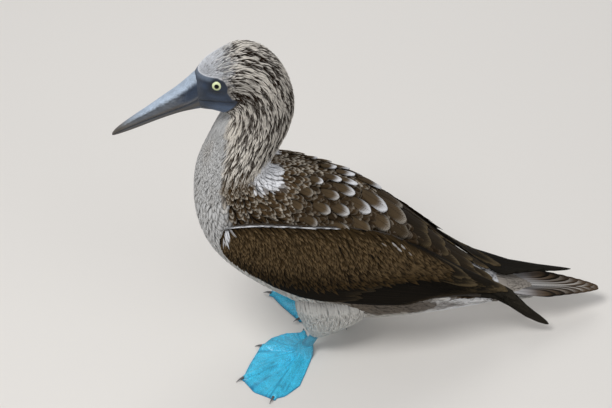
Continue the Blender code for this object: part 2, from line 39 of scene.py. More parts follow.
import bpy
import numpy as np
from mathutils import Vector

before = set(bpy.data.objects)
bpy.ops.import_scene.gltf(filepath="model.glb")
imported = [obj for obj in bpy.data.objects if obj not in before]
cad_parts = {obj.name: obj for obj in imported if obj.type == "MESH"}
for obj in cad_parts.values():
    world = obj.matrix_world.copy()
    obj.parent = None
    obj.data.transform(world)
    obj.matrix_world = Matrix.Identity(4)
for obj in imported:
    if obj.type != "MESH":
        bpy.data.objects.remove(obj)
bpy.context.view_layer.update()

MM = 0.001
BODY_NAME = "root"
BAKE_MAP = "OFBake"
PATCH = 0.003

# Body rings from the bill to the root of the tail. Each row holds the back's
# y and z, the belly's y and z, the half width, how far the widest level sinks
# below the middle, and how square the section is.
BODY = np.array([
    (-169, 350, -166, 311.5, 14.0, 0.00, 2.0),
    (-163, 359, -161, 310, 16.5, 0.00, 2.0),
    (-154, 367.5, -152, 308, 19.5, 0.00, 2.0),
    (-134, 377, -141, 304, 25.0, 0.00, 2.1),
    (-119, 378.5, -138, 302, 27.0, 0.00, 2.1),
    (-103, 371.5, -138, 300, 28.5, 0.00, 2.1),
    (-89.5, 357, -140, 297.5, 29.0, 0.00, 2.1),
    (-80, 338, -144, 293.5, 29.5, 0.00, 2.0),
    (-75, 317, -149, 286, 30.0, 0.00, 2.0),
    (-75, 298, -154.5, 276, 30.5, 0.00, 2.0),
    (-80, 279, -160.5, 264, 31.5, 0.00, 2.0),
    (-88, 262, -166.5, 250, 33.0, 0.00, 2.0),
    (-95.5, 249.5, -171, 235, 35.5, 0.00, 2.0),
    (-98, 241.5, -173.5, 216, 39.0, -0.05, 2.0),
    (-90, 236.5, -174, 194, 43.0, -0.10, 2.1),
    (-80, 232, -171.5, 172, 46.0, -0.12, 2.1),
    (-67, 227.5, -164, 150, 48.0, -0.12, 2.2),
    (-52, 220, -150, 127, 49.5, -0.12, 2.2),
    (-33.5, 210.5, -127, 103, 50.5, -0.12, 2.3),
    (-11, 197.5, -95, 76, 50.5, -0.12, 2.3),
    (10, 180, -58, 51, 49.5, -0.12, 2.4),
    (32, 156.5, -18, 36, 47.5, -0.12, 2.4),
    (56, 131, 22, 30, 43.5, -0.10, 2.3),
    (80, 104, 62, 28.5, 37.5, -0.08, 2.2),
    (104, 80, 100, 28, 30.0, -0.05, 2.1),
    (126, 61.5, 126, 28, 23.0, 0.00, 2.0),
    (140, 51.5, 140, 29.5, 18.5, 0.00, 2.0),
])
NECK_END = 12.0
TORSO_END = 26.0

# Side outline of the bare skin of the face, back from the bill
FACE_OUTLINE = np.array([
    (-182, 354.5), (-155, 355), (-149, 355.4), (-143.2, 353.2), (-140.4, 348.4),
    (-140.8, 341.5), (-137, 334.8), (-131.5, 331.5), (-134, 325.5), (-141, 315),
    (-149, 300), (-182, 300),
])
EYE_CENTRE = np.array([15.2, -149.0, 347.0])
EYE_RADIUS = 6.6
EYE_FACING = np.array([0.95, -0.22, 0.2])
GAPE = (-131.5, 331.5)
BILL_MOUTH = (-168.0, 329.0)

# Bill sections: y and z of the ridge, z of the mouth line, y and z of the keel,
# half width
BILL = np.array([
    (-169.4, 350.0, 329.5, -166.4, 311.5, 13.8),
    (-176, 343.6, 325.0, -174, 311.0, 13.2),
    (-186, 335.0, 319.5, -185, 309.0, 11.6),
    (-200, 325.3, 312.8, -199.6, 304.0, 9.4),
    (-214, 315.5, 306.0, -214, 298.0, 7.2),
    (-228, 306.2, 299.2, -228, 292.0, 5.2),
    (-240, 297.6, 293.0, -240, 287.6, 3.6),
    (-247.5, 291.4, 288.4, -247.5, 285.2, 2.2),
    (-251, 287.0, 285.6, -251, 284.6, 0.9),
])
MOUTH_GAP = 0.3

# Wing sheet, from the wrist back to the tip: the upper edge's x, y, z, the
# lower edge's x, y, z, how far the middle bulges out, and how far the sheet
# stands off the body at least
WING = [
    (42, -151, 190, 40, -153.5, 177, 1, 5),
    (46, -140, 198, 46, -148, 158, 4, 8),
    (47, -114, 199, 52, -122, 133, 5, 9),
    (47, -76, 191, 56, -78, 105, 5, 8),
    (44, -30, 179, 57, -32, 91, 4, 7),
    (37, 20, 157, 56, 20, 82, 4, 7),
    (31, 64, 118, 52, 60, 77, 3, 6),
    (23, 103, 82, 45, 97, 71, 2, 5),
]
LEFT_TIP = [
    (18, 132, 61, 40, 124, 62, 1, 4),
    (31, 150, 57, 39, 141, 49, 0, 2),
    (36, 171, 34, 38, 166, 26, 0, 2),
    (36, 194, 11, 36.5, 191, 8, 0, 2),
]
RIGHT_TIP = [
    (9, 131, 62.5, 40, 125, 62, 1, 4),
    (-3, 152, 54, 34, 151, 57, 0, 2),
    (5, 190, 46.5, 28, 189, 45, 0, 2),
    (15, 228, 38, 20, 228, 37, 0, 2),
]
WING_END = 11.0

# Tail: its fleshy root's rows of y, z, half width and half thickness, and the
# line that its feathers lie on
TAIL_ROOT = np.array([(126, 46, 20, 11), (140, 42.2, 18.3, 9.6), (158, 37.8, 19, 6.5), (178, 33.5, 13, 2.5)])
TAIL_LINE = np.array([(140, 42), (162, 37), (187, 32.5), (215, 28.5), (237, 25.3), (252, 23.5)])
TAIL_SPREAD = 16.5
TAIL_STEP = 56.0
TOTAL_LENGTH = 502.0

# Feet: where the ankles stand, the toes from the outer one in as direction,
# reach and half width, and the outline as directions and reaches
FOOT_SPREAD = 30.5
FOOT_STAGGER = 45.0
LEFT_FOOT_Y = -67.5
HEEL_RISE = 42.0
HEEL_BACK = 29.0
TOES = [(57.0, 78.0, 4.2), (25.0, 77.0, 4.4), (-16.0, 47.0, 4.0), (-95.0, 29.0, 3.2)]
FOOT_OUTLINE = [
    (-180, 9), (-140, 10), (-112, 20), (-95, 29), (-62, 34), (-38, 40.5), (-16, 47),
    (12, 61.5), (25, 76.5), (41, 79.5), (57, 77.5), (65, 69), (76, 51), (82, 34),
    (102, 16), (140, 10), (180, 9),
]
ANKLE_TOP = 12.5
ANKLE_RADIUS = 6.5
# Feathered thigh rings: height, half width, and how far back of the ankle the
# front and the rear lie
THIGH = np.array([
    (27.3, 8, 5, 22), (31, 10.5, 3, 31), (36.5, 13, 0, 45), (45, 15.5, -3, 60),
    (58, 17, -8, 72), (84, 17, -12, 70),
])


def srgb(red, green, blue):
    """A colour given in 0 to 255, as linear values."""
    values = []
    for value in (red, green, blue):
        value /= 255
        values.append(value / 12.92 if value <= 0.04045 else ((value + 0.055) / 1.055) ** 2.4)
    return tuple(values)


def colour_property(name, description, red, green, blue):
    return bpy.props.FloatVectorProperty(
        name=name, description=description, subtype="COLOR", size=3, min=0, max=1,
        default=srgb(red, green, blue),
    )


def length_property(name, description, default):
    return bpy.props.FloatProperty(
        name=name, description=description, default=default, min=0, unit="LENGTH", precision=4,
    )


class PlumageSettings(bpy.types.PropertyGroup):
    """Sizes and colours of the feathers."""
    seed: bpy.props.IntProperty(name="Seed", description="Start of every random draw", default=7)
    coat_depth: length_property("Coat depth", "How deep the skin lies under the plumage", 0.003)
    head_feather: length_property("Head feather", "Length of a pointed head feather", 0.0075)
    neck_feather: length_property("Neck feather", "Length of a pointed neck feather", 0.014)
    breast_feather: length_property("Breast feather", "Length of a breast feather", 0.017)
    mantle_feather: length_property("Mantle feather", "Length of a mantle feather", 0.013)
    covert: length_property("Covert", "Length of a small wing covert", 0.014)
    streak_dark: colour_property("Streak", "Dark base of the head's feathers", 38, 25, 14)
    streak_pale: colour_property("Streak edge", "Pale points of the head's feathers", 250, 243, 232)
    forehead: colour_property("Forehead", "White of the forehead", 244, 246, 250)
    breast: colour_property("Breast", "Greyish white of the neck's front and breast", 206, 206, 205)
    belly: colour_property("Belly", "White of belly and thighs", 212, 210, 205)
    mantle: colour_property("Mantle", "Brown of the mantle", 84, 66, 44)
    mantle_tip: colour_property("Mantle tips", "Pale tips of the mantle", 208, 198, 182)
    smoke: colour_property("Smoke", "Brownish grey clouds on the breast and flanks", 150, 138, 122)
    patch: colour_property("Patch", "White patch at the base of the neck", 246, 247, 250)
    shoulder: colour_property("Shoulder", "Brown of the large shoulder feathers", 92, 76, 55)
    wing: colour_property("Wing", "Brown of the small wing coverts", 66, 51, 29)
    wing_streak: colour_property("Wing streak", "Paler streaks of the small coverts", 116, 96, 68)
    flight: colour_property("Flight feathers", "Dark brown of flight feathers", 24, 19, 11)
    flight_edge: colour_property("Flight edges", "Paler edges of flight feathers", 82, 70, 50)
    primary: colour_property("Primaries", "Blackish brown of the wing's tip", 29, 26, 20)
    tail_pale: colour_property("Tail", "Pale middle feathers of the tail", 176, 170, 162)
    tail_brown: colour_property("Tail edges", "Brown outer feathers of the tail", 86, 70, 54)


class BareSettings(bpy.types.PropertyGroup):
    """Colours and sizes of skin, bill, eyes and feet."""
    slate: colour_property("Face", "Slate blue of the bare face", 38, 53, 74)
    throat: colour_property("Throat", "Blue of the throat's skin", 70, 92, 122)
    # The ridge's pale blue grey is a painted highlight along the top of the upper bill
    bill_highlight: colour_property("Bill ridge", "Pale blue grey of the upper ridge", 168, 182, 198)
    bill_grey: colour_property("Bill side", "Grey of the bill's sides", 88, 92, 98)
    bill_brown: colour_property("Lower bill", "Brownish grey of the lower bill and tip", 84, 78, 70)
    iris: colour_property("Iris", "Pale yellow of the iris", 226, 234, 186)
    foot: colour_property("Foot", "Turquoise blue of the feet", 66, 200, 236)
    foot_deep: colour_property("Foot folds", "Deeper blue in the folds", 6, 112, 156)
    claw: colour_property("Claw", "Dark grey of the claws", 92, 90, 90)
    pupil: length_property("Pupil", "Radius of the pupil", 0.0021)


class StageSettings(bpy.types.PropertyGroup):
    """Floor, lights and camera."""
    floor: colour_property("Floor", "Colour of the floor", 226, 222, 216)
    azimuth: bpy.props.FloatProperty(
        name="Azimuth", description="Camera's place round the bird, from its front",
        default=math.radians(82), subtype="ANGLE",
    )
    elevation: bpy.props.FloatProperty(
        name="Elevation", description="Camera's height over the horizon",
        default=math.radians(40), subtype="ANGLE",
    )
    lens: bpy.props.FloatProperty(name="Lens", description="Focal length in millimetres", default=135)
    key_power: bpy.props.FloatProperty(
        name="Key light", description="Power of the main light", default=30, unit="POWER",
    )


def plumage():
    return bpy.context.scene.booby_plumage


def bare():
    return bpy.context.scene.booby_bare


def paint(name, group=None):
    """A colour of the settings as an array."""
    return np.array(getattr(group or plumage(), name))


def length(name):
    """A length of the plumage settings, in millimetres."""
    return getattr(plumage(), name) / MM


def unit(vectors):
    return vectors / np.maximum(np.linalg.norm(vectors, axis=-1, keepdims=True), 1e-9)


def mix(a, b, t):
    return a + (b - a) * t


def ramp(value, low, high):
    """A smooth step from 0 at low to 1 at high."""
    t = np.clip((value - low) / (high - low), 0, 1)
    return t * t * (3 - 2 * t)


def column(values):
    return np.asarray(values, float)[..., None]


def smooth(rows, u):
    """Values of the rows at places u, on a smooth curve through all of them."""
    rows = np.asarray(rows, float)
    last = len(rows) - 1
    u = np.clip(np.asarray(u, float), 0, last)
    i = np.minimum(u.astype(int), last - 1)
    t = column(u - i)
    a, b, c, d = (rows[np.clip(i + k, 0, last)] for k in (-1, 0, 1, 2))
    value = 2 * b + (c - a) * t + (2 * a - 5 * b + 4 * c - d) * t ** 2
    return (value + (3 * b - a - 3 * c + d) * t ** 3) / 2


def power(value, exponent):
    return np.sign(value) * np.abs(value) ** exponent


def noise(points, size, seed):
    """Smooth random values from 0 to 1, in lumps of about a size."""
    place = np.asarray(points, float) / size + 31.7 * (seed + 1)
    cell = np.floor(place)
    share = place - cell
    share = share * share * (3 - 2 * share)
    total = 0.0
    for corner in np.ndindex(2, 2, 2):
        wave = np.sin((cell + corner) @ np.array([12.9898, 78.233, 37.719]) + seed) * 43758.5453
        weight = np.prod(np.where(np.array(corner) == 1, share, 1 - share), axis=-1)
        total = total + (wave - np.floor(wave)) * weight
    return total


def body_place(u, angle, out=0.0):
    """Points of the body: angle 0 is the left side and 90 degrees the back."""
    top_y, top_z, low_y, low_z, half, sink, square = np.moveaxis(smooth(BODY, u), -1, 0)
    rise_y = (top_y - low_y) / 2
    rise_z = (top_z - low_z) / 2
    size = np.hypot(rise_y, rise_z)
    across = power(np.cos(angle), 2 / square)
    up = power(np.sin(angle), 2 / square)
    up = (up + sink * (1 - up * up)) * (size + out) / size
    return np.stack([
        across * (half + out),
        (top_y + low_y) / 2 + rise_y * up,
        (top_z + low_z) / 2 + rise_z * up,
    ], -1)


def body_side(y, z):
    """Half width of the body at places seen from the side, or 0 off the body."""
    def along(u):
        top_y, top_z, low_y, low_z = np.moveaxis(smooth(BODY, u), -1, 0)[:4]
        run_y = (y - (top_y + low_y) / 2) * (top_z - low_z)
        return run_y - (z - (top_z + low_z) / 2) * (top_y - low_y)

    low = np.full_like(y, NECK_END)
    high = np.full_like(y, TORSO_END)
    off = (along(low) < 0) | (along(high) > 0)
    for _ in range(24):
        middle = (low + high) / 2
        past = along(middle) > 0
        low = np.where(past, middle, low)
        high = np.where(past, high, middle)
    top_y, top_z, low_y, low_z, half, sink, square = np.moveaxis(smooth(BODY, low), -1, 0)
    size = np.hypot(top_y - low_y, top_z - low_z) / 2
    rise_y = y - (top_y + low_y) / 2
    rise_z = z - (top_z + low_z) / 2
    up = (rise_y * (top_y - low_y) + rise_z * (top_z - low_z)) / (2 * size * size)
    off |= np.abs(up) >= 1
    safe = np.where(np.abs(sink) < 1e-6, 1e-6, sink)
    up = np.where(np.abs(sink) < 1e-6, up,
                  (1 - np.sqrt(np.maximum(0, 1 - 4 * safe * (up - safe)))) / (2 * safe))
    side = half * np.maximum(0, 1 - np.abs(up) ** square) ** (1 / square)
    return np.where(off, 0, side)


def wing_place(rows):
    """A wing's outer surface: s runs from wrist to tip, v from upper to lower edge."""
    def place(s, v):
        ux, uy, uz, lx, ly, lz, bulge, stand = np.moveaxis(smooth(rows, s), -1, 0)
        x = mix(ux, lx, v) + bulge * 4 * v * (1 - v)
        y = mix(uy, ly, v)
        z = mix(uz, lz, v)
        side = body_side(y, z)
        over = side + stand * (0.45 + 0.55 * np.sin(math.pi * np.minimum(1, 0.1 + v))) - x
        x = np.where(side > 0, x + (over + np.hypot(over, 3.0)) / 2, x)
        return np.stack([x, y, z], -1)

    return place


def sized(size, s):
    """A size at a place, where it may be a number or a function."""
    return size(s) if callable(size) else size


def sized_by(places, values):
    """A size that runs through the values given at places."""
    return lambda s: np.interp(s, places, values)


def turn_share(angle):
    """An angle as a share of a whole turn, from 0 to 1."""
    return np.mod(angle, 2 * math.pi) / (2 * math.pi)


class Sheet:
    """A surface held as a fine grid, read at any place (s, v) on it."""

    def __init__(self, place, s_range, v_range, rows, columns, side=1, facing=1):
        self.s_range = s_range
        self.v_range = v_range
        s, v = np.meshgrid(np.linspace(*s_range, rows), np.linspace(*v_range, columns), indexing="ij")
        self.points = place(s, v) * (side, 1, 1)
        by_s = np.gradient(self.points, axis=0) * (rows - 1) / (s_range[1] - s_range[0])
        by_v = np.gradient(self.points, axis=1) * (columns - 1) / (v_range[1] - v_range[0])
        self.normals = unit(np.cross(by_v, by_s)) * side * facing
        self.pace = np.stack([np.linalg.norm(by_s, axis=-1), np.linalg.norm(by_v, axis=-1)], -1)

    def read(self, grid, s, v):
        rows, columns = grid.shape[:2]
        a = (s - self.s_range[0]) / (self.s_range[1] - self.s_range[0]) * (rows - 1)
        b = (v - self.v_range[0]) / (self.v_range[1] - self.v_range[0]) * (columns - 1)
        i = np.clip(a.astype(int), 0, rows - 2)
        j = np.clip(b.astype(int), 0, columns - 2)
        a = column(a - i)
        b = column(b - j)
        low = mix(grid[i, j], grid[i, j + 1], b)
        return mix(low, mix(grid[i + 1, j], grid[i + 1, j + 1], b), a)

    def at(self, s, v):
        return self.read(self.points, s, v), unit(self.read(self.normals, s, v))

    def beyond(self, s, v, turn, reach):
        """The places that lie a reach away, turned from the s direction towards v."""
        pace = np.maximum(self.read(self.pace, s, v), 0.05)
        return s + reach * np.cos(turn) / pace[..., 0], v + reach * np.sin(turn) / pace[..., 1]

    def rows(self, s_range, v_range, row_gap, gap, chance, jitter=0.25):
        """Places in staggered rows across the sheet, with gaps in millimetres."""
        found_s = []
        found_v = []
        s = s_range[0]
        middle = np.mean(v_range)
        number = 0
        while s < s_range[1]:
            v = np.linspace(*v_range, 400)
            pace = self.read(self.pace, np.full(400, s), v)
            run = np.concatenate([[0], np.cumsum((pace[1:, 1] + pace[:-1, 1]) / 2 * np.diff(v))])
            space = sized(gap, s)
            count = max(2, int(run[-1] / space))
            spots = (np.arange(count) + (0.25 if number % 2 else 0.75)) / count
            spots = spots + chance.uniform(-jitter, jitter, count) / count
            found_v.append(np.interp(spots * run[-1], run, v))
            step = sized(row_gap, s)
            pace_here = float(self.read(self.pace, np.array([s]), np.array([middle]))[0, 0])
            ds = step / max(pace_here, 0.1)
            found_s.append(s + chance.uniform(-jitter, jitter, count) * ds)
            s += ds
            number += 1
        return np.concatenate(found_s), np.concatenate(found_v)


# Angles right round a body part from its lowest line, and a little past both ends
ALL_ROUND = (-math.pi / 2, 1.5 * math.pi)
ROUND_AND_MORE = (-1.7, 2 * math.pi + 0.2)

BODY_SHEET = Sheet(body_place, (0, TORSO_END), ROUND_AND_MORE, 521, 300, facing=-1)
WINGS = {
    "left": Sheet(wing_place(WING + LEFT_TIP), (0, WING_END), (0, 1), 221, 41),
    "right": Sheet(wing_place(WING + RIGHT_TIP), (0, WING_END), (0, 1), 221, 41, side=-1),
}
SIDES = {"left": 1, "right": -1}


def face_distance(points):
    """How far places lie outside the bare face's outline, less than 0 on the face."""
    y = points[..., 1]
    z = points[..., 2]
    inside = np.zeros(y.shape, bool)
    nearest = np.full(y.shape, 1e9)
    for (ay, az), (by, bz) in zip(FACE_OUTLINE, np.roll(FACE_OUTLINE, -1, axis=0)):
        crosses = (az > z) != (bz > z)
        height = np.where(np.abs(bz - az) < 1e-9, 1e-9, bz - az)
        inside ^= crosses & (y < (by - ay) * (z - az) / height + ay)
        t = np.clip(((y - ay) * (by - ay) + (z - az) * (bz - az)) / ((by - ay) ** 2 + (bz - az) ** 2), 0, 1)
        nearest = np.minimum(nearest, np.hypot(y - mix(ay, by, t), z - mix(az, bz, t)))
    return np.where(inside, -nearest, nearest)


def over_back(angle):
    """The angle from the belly, -90, over either side to the back, 90."""
    return np.degrees(np.arcsin(np.clip(np.sin(angle), -1, 1)))


# The edge colour starts past the feather's tip, so that it never shows
NO_TRIM = 2.0

# Rings and how far down the streaked plumage reaches there
STREAK_EDGE = np.array([
    (0, -60), (3, -60), (5, -74), (7.4, -62), (11, -32), (13.4, -18), (14.4, -14), (16.5, 2), (26, 4),
])


# Lengths in millimetres of the streaks' pattern: the body's radius, the gap
# between its rings, how far streaks wander, how long they are, and how many
# times longer than wide
BODY_RADIUS = 30.0
RING_GAP = 15.0
STREAK_SWAY = 5.0
STREAK_LENGTH = 13.0
STREAK_STRETCH = 12.0


def streak_edge(u):
    """The height, from -90 to 90, down to which the streaked plumage reaches."""
    return np.interp(u, STREAK_EDGE[:, 0], STREAK_EDGE[:, 1])


def markings(points, u, height, luck):
    """Colours at root, tip and edge, and where the edge starts, of body feathers."""
    lumps = noise(points, 9.0, 1)
    fine = noise(points, 3.5, 2)
    broad = noise(points * (1, 1, 0.4), 13.0, 8)
    edge_at = streak_edge(u)
    streaked = ramp(height + (fine - 0.5) * 12, edge_at - 3, edge_at + 7)

    # White below, with smoky places
    white = mix(paint("breast"), paint("belly"), column(ramp(u, 15, 19)))
    smoke = 0.3 * ramp(broad, 0.4, 0.8) * ramp(u, 17, 13)
    smoke = smoke + 0.35 * ramp(u, 19, 21) * ramp(u, 23.5, 22) * ramp(lumps, 0.35, 0.7)
    white = mix(white, paint("smoke"), column(smoke))
    white = mix(white, paint("patch"), column(0.8 * ramp(u, 22, 23.5)))
    white = white * column(0.95 + 0.07 * fine)
    root = white * 0.93
    tip = white
    edge = white
    trim = np.full(len(u), NO_TRIM)

    # Dark and pale lines along head and neck, fading towards the white
    rear = ramp(height - edge_at, 10, 75) * ramp(u, 4, 7)
    dark = mix(paint("streak_dark"), paint("mantle"), column(0.7 * ramp(u, 10.5, 13)))
    dark = dark * column(0.7 + 0.6 * fine)
    fade = ramp(height - edge_at, 30, 4) * ramp(u, 5.5, 7.5)
    dark = mix(dark, paint("smoke") * 0.55, column(0.6 * fade))
    cheek = ramp(np.hypot((u - 4.2) / 1.9, (height - 4) / 24), 1.1, 0.5)
    pale = paint("streak_pale") * column((0.85 + 0.3 * lumps) * (1 - 0.12 * rear - 0.35 * cheek))
    across = np.radians(height) * BODY_RADIUS + STREAK_SWAY * (noise(points, 7.0, 23) - 0.5)
    lines = np.stack([u * RING_GAP, across * STREAK_STRETCH, 0 * u], -1)
    line = ramp(noise(lines, STREAK_LENGTH, 22) + 0.1 * (luck - 0.5) - 0.05 * cheek + 0.08 * fade, 0.45, 0.56)
    own = mix(dark, pale * 0.9, column(line))
    root = mix(root, mix(dark * 0.8, own, 0.4), column(streaked))
    tip = mix(tip, own, column(streaked))
    edge = mix(edge, mix(own, pale, 0.35), column(streaked))
    trim = np.where(streaked > 0.5, 0.75 + 0.1 * luck, trim)

    # A pale, specked forehead
    forehead = ramp(u + (fine - 0.5) * 0.8, 3.5, 2.0) * ramp(height, 6, 22)
    speck = (luck > 0.8) * 0.6
    pale = paint("forehead") * column(0.9 + 0.1 * fine)
    root = mix(root, mix(pale * 0.95, paint("streak_dark"), column(speck)), column(forehead))
    tip = mix(tip, mix(pale, paint("streak_dark"), column(speck * 0.4)), column(forehead))
    edge = mix(edge, pale, column(forehead))

    # Brown back with pale edges, darker to the rear, and painted shade where the shoulder feathers lie over it
    mantle = ramp(u, 11.6, 12.8) * ramp(height + (lumps - 0.5) * 12, edge_at - 3, edge_at + 6)
    # Painted shade: the mantle is darkened where the shoulder feathers lie over it
    under = ramp(u, 16.0, 17.4) * ramp(height, 22, 32) * ramp(height, 88, 78)
    rear_dark_and_shade = np.maximum(ramp(u, 18, 22), 0.8 * under)
    base = paint("mantle") * column((0.4 + 0.75 * fine) * (1 - 0.45 * rear_dark_and_shade))
    darker = np.clip(0.3 * luck + 0.1 * broad + 0.7 * rear_dark_and_shade, 0, 1)
    tips = mix(paint("mantle_tip"), paint("mantle"), column(darker))
    root = mix(root, base * 0.6, column(mantle))
    tip = mix(tip, base, column(mantle))
    edge = mix(edge, tips, column(mantle))
    trim = np.where(mantle > 0.5, 0.76 + 0.14 * luck + 0.08 * rear_dark_and_shade, trim)

    # White patch at the neck's root, pale rump and brown flank
    reach = np.hypot((u - 13.1) / 1.8, (height - 53) / 25)
    patch = column(ramp(reach + (fine - 0.5) * 0.6, 1.2, 0.85))
    root = mix(root, paint("patch") * 0.95, patch)
    tip = mix(tip, paint("patch"), patch)
    edge = mix(edge, paint("patch"), patch)

    rump = column(ramp(u, 23.6, 24.4) * ramp(height, 15, 45) * 0.7)
    root = mix(root, paint("tail_pale"), rump)
    tip = mix(tip, paint("patch"), rump)
    edge = mix(edge, paint("patch"), rump)

    flank = np.hypot((u - 21.6) / 2.6, (height + 16) / 17)
    flank = column(ramp(flank + (lumps - 0.5) * 0.7, 1.2, 0.5) * 0.85)
    brown = mix(paint("mantle") * 0.7, paint("smoke"), column(0.3 * lumps))
    root = mix(root, brown * 0.8, flank)
    tip = mix(tip, brown, flank)
    return root, tip, edge, trim


# Cross sections of a feather as places across it and heights: a thin leaf, and
# a stiff vane with a raised shaft
LEAF = np.array([(-1, 0), (0, 1), (1, 0), (0, -0.6)])
STIFF = np.array([
    (-1, 0.1), (-0.55, 0.5), (0, 1.0), (0.55, 0.5), (1, 0.1), (0.5, -0.3), (0, -0.35), (-0.5, -0.3),
])
# Steps along a feather and its width at each
ROUND_TIP = np.array([(0, 0.55), (0.35, 0.98), (0.72, 1.0), (0.92, 0.66), (1.0, 0.22)])
STREAK_TIP = np.array([(0, 0.5), (0.3, 0.9), (0.55, 0.85), (0.78, 0.5), (1.0, 0.06)])
POINT_TIP = np.array([(0, 0.6), (0.35, 1.0), (0.75, 0.62), (1.0, 0.06)])
LONG_TIP = np.array([
    (0, 0.6), (0.15, 0.85), (0.4, 1.0), (0.62, 1.0), (0.8, 0.94), (0.91, 0.72), (0.97, 0.42), (1.0, 0.12),
])


def ring_caps(size):
    """The quads that close an even ring of points."""
    return [(k, k + 1, size - 2 - k, size - 1 - k) for k in range(size // 2 - 1)]


def tube_faces(rows, size):
    """Quads of a tube of rings, with both ends closed."""
    faces = []
    for r in range(rows - 1):
        for k in range(size):
            n = (k + 1) % size
            faces.append((r * size + k, r * size + n, (r + 1) * size + n, (r + 1) * size + k))
    last = (rows - 1) * size
    for cap in ring_caps(size):
        faces.append(cap[::-1])
        faces.append(tuple(last + k for k in cap))
    return np.array(faces)


def quad_object(name, points, faces, attributes, bake=None):
    """An object of quads from points in millimetres, with values at its points."""
    mesh = bpy.data.meshes.new(name)
    mesh.vertices.add(len(points))
    mesh.vertices.foreach_set("co", (np.asarray(points) * MM).astype(np.float32).ravel())
    mesh.loops.add(faces.size)
    mesh.loops.foreach_set("vertex_index", faces.astype(np.int32).ravel())
    mesh.polygons.add(len(faces))
    mesh.polygons.foreach_set("loop_start", np.arange(len(faces), dtype=np.int32) * 4)
    mesh.update(calc_edges=True)
    kinds = {1: ("FLOAT", "value"), 3: ("FLOAT_VECTOR", "vector"), 4: ("FLOAT_COLOR", "color")}
    for label, values in attributes.items():
        values = np.asarray(values, np.float32).reshape(len(points), -1)
        if label in ("tone", "edge"):
            values = np.concatenate([values, np.ones((len(points), 1), np.float32)], 1)
        kind, field = kinds[values.shape[1]]
        layer = mesh.attributes.new(label, kind, "POINT")
        layer.data.foreach_set(field, values.ravel())
    if bake is not None:
        layer = mesh.uv_layers.new(name=BAKE_MAP)
        layer.uv.foreach_set("vector", bake[faces.ravel()].astype(np.float32).ravel())
    mesh.validate()
    mesh.shade_smooth()
    obj = bpy.data.objects.new(name, mesh)
    bpy.context.scene.collection.objects.link(obj)
    return obj


class Coat:
    """Feathers laid on sheets and joined as one object."""

    def __init__(self, name):
        self.name = name
        self.points = []
        self.faces = []
        self.values = {"tone": [], "edge": [], "blade": [], "chance": []}
        self.bake = []
        self.count = 0

    def add(self, sheet, root, tip, half, rise, colours, trim, chance, section=LEAF,
            profile=ROUND_TIP, thick=0.25, camber=0.0, lift=0.9, tilt=0.0, place=None):
        """Lay feathers from roots to tips, both as (s, v). Rise gives the heights of
        root and tip over the sheet, and lift how much of it the long part climbs."""
        number = len(half)
        if not number:
            return
        t = profile[:, 0]
        rows = len(t)
        size = len(section)
        s = mix(column(root[0]), column(tip[0]), t)
        v = mix(column(root[1]), column(tip[1]), t)
        centre, normal = sheet.at(s, v)
        low = column(np.broadcast_to(rise[0], number))
        high = column(np.broadcast_to(rise[1], number))
        slope = column(np.broadcast_to(lift, number))
        high = high - slope * (1 - t) + (low - high + slope) * (1 - t) ** 3
        centre = centre + normal * column(high)
        along = unit(np.gradient(centre, axis=1))
        across = unit(np.cross(along, normal))
        normal = np.cross(across, along)
        width = column(half) * profile[:, 1]
        depth = column(np.full(number, thick)) * np.linspace(1, 0.6, rows)
        places = section[:, 0]
        side = width[..., None] * places
        above = depth[..., None] * section[:, 1]
        above = above - column(np.full(number, camber))[..., None] * places ** 2 * profile[:, 1][:, None]
        here = sheet.at(s[:, :1], v[:, :1])[0]
        beside = sheet.at(s[:, :1], v[:, :1] + 0.02)[0]
        down = np.sign(np.sum(across[:, :1] * (beside - here), -1))
        above = above + (column(np.full(number, tilt)) * down)[..., None] * places * profile[:, 1][:, None]
        points = centre[:, :, None] + across[:, :, None] * side[..., None]
        points = points + normal[:, :, None] * above[..., None]
        self.points.append(points.reshape(-1, 3))
        template = tube_faces(rows, size)
        offsets = self.count + np.arange(number) * rows * size
        self.faces.append((offsets[:, None, None] + template).reshape(-1, 4))
        self.count += number * rows * size
        shape = (number, rows, size)
        blend = ramp(t, 0.15, 0.75)[:, None, None]
        root_colour, tip_colour, edge_colour = (np.broadcast_to(c, (number, 3)) for c in colours)
        tone = root_colour[:, None, None] * (1 - blend) + tip_colour[:, None, None] * blend
        self.values["tone"].append(np.broadcast_to(tone, (*shape, 3)).reshape(-1, 3))
        self.values["edge"].append(np.broadcast_to(edge_colour[:, None, None], (*shape, 3)).reshape(-1, 3))
        blade = np.stack([
            np.broadcast_to(t[:, None], shape), np.broadcast_to(places, shape),
            np.broadcast_to(np.asarray(trim).reshape(-1, 1, 1), shape),
        ], -1)
        self.values["blade"].append(blade.reshape(-1, 3))
        self.values["chance"].append(np.broadcast_to(chance[:, None, None], shape).reshape(-1, 1))
        home = np.stack(place if place else (root[0] / sheet.s_range[1], root[1] / sheet.v_range[1]), -1)
        home = np.mod(home, 1.0) * (1 - PATCH)
        patch = np.stack([blade[..., 1] / 2 + 0.5, blade[..., 0]], -1) * PATCH
        self.bake.append((home[:, None, None] + patch).reshape(-1, 2))

    def build(self, material):
        obj = quad_object(
            self.name, np.concatenate(self.points), np.concatenate(self.faces),
            {label: np.concatenate(values) for label, values in self.values.items()},
            np.concatenate(self.bake),
        )
        settle(obj, material)


def settle(obj, material, nodes=()):
    """Give a piece its material and place in the frame."""
    obj.data.materials.append(material)
    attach(obj, BODY_NAME)
    if nodes:
        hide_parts(*nodes)


def new_group(name, inputs, outputs):
    """A shader node group with its sockets, and its input and output nodes."""
    tree = bpy.data.node_groups.new(name, "ShaderNodeTree")
    kinds = {"value": "NodeSocketFloat", "colour": "NodeSocketColor", "vector": "NodeSocketVector"}
    for label, kind, default in inputs:
        socket = tree.interface.new_socket(label, in_out="INPUT", socket_type=kinds[kind])
        if default is not None:
            socket.default_value = default
    for label, kind in outputs:
        tree.interface.new_socket(label, in_out="OUTPUT", socket_type=kinds[kind])
    return tree, tree.nodes.new("NodeGroupInput").outputs, tree.nodes.new("NodeGroupOutput").inputs


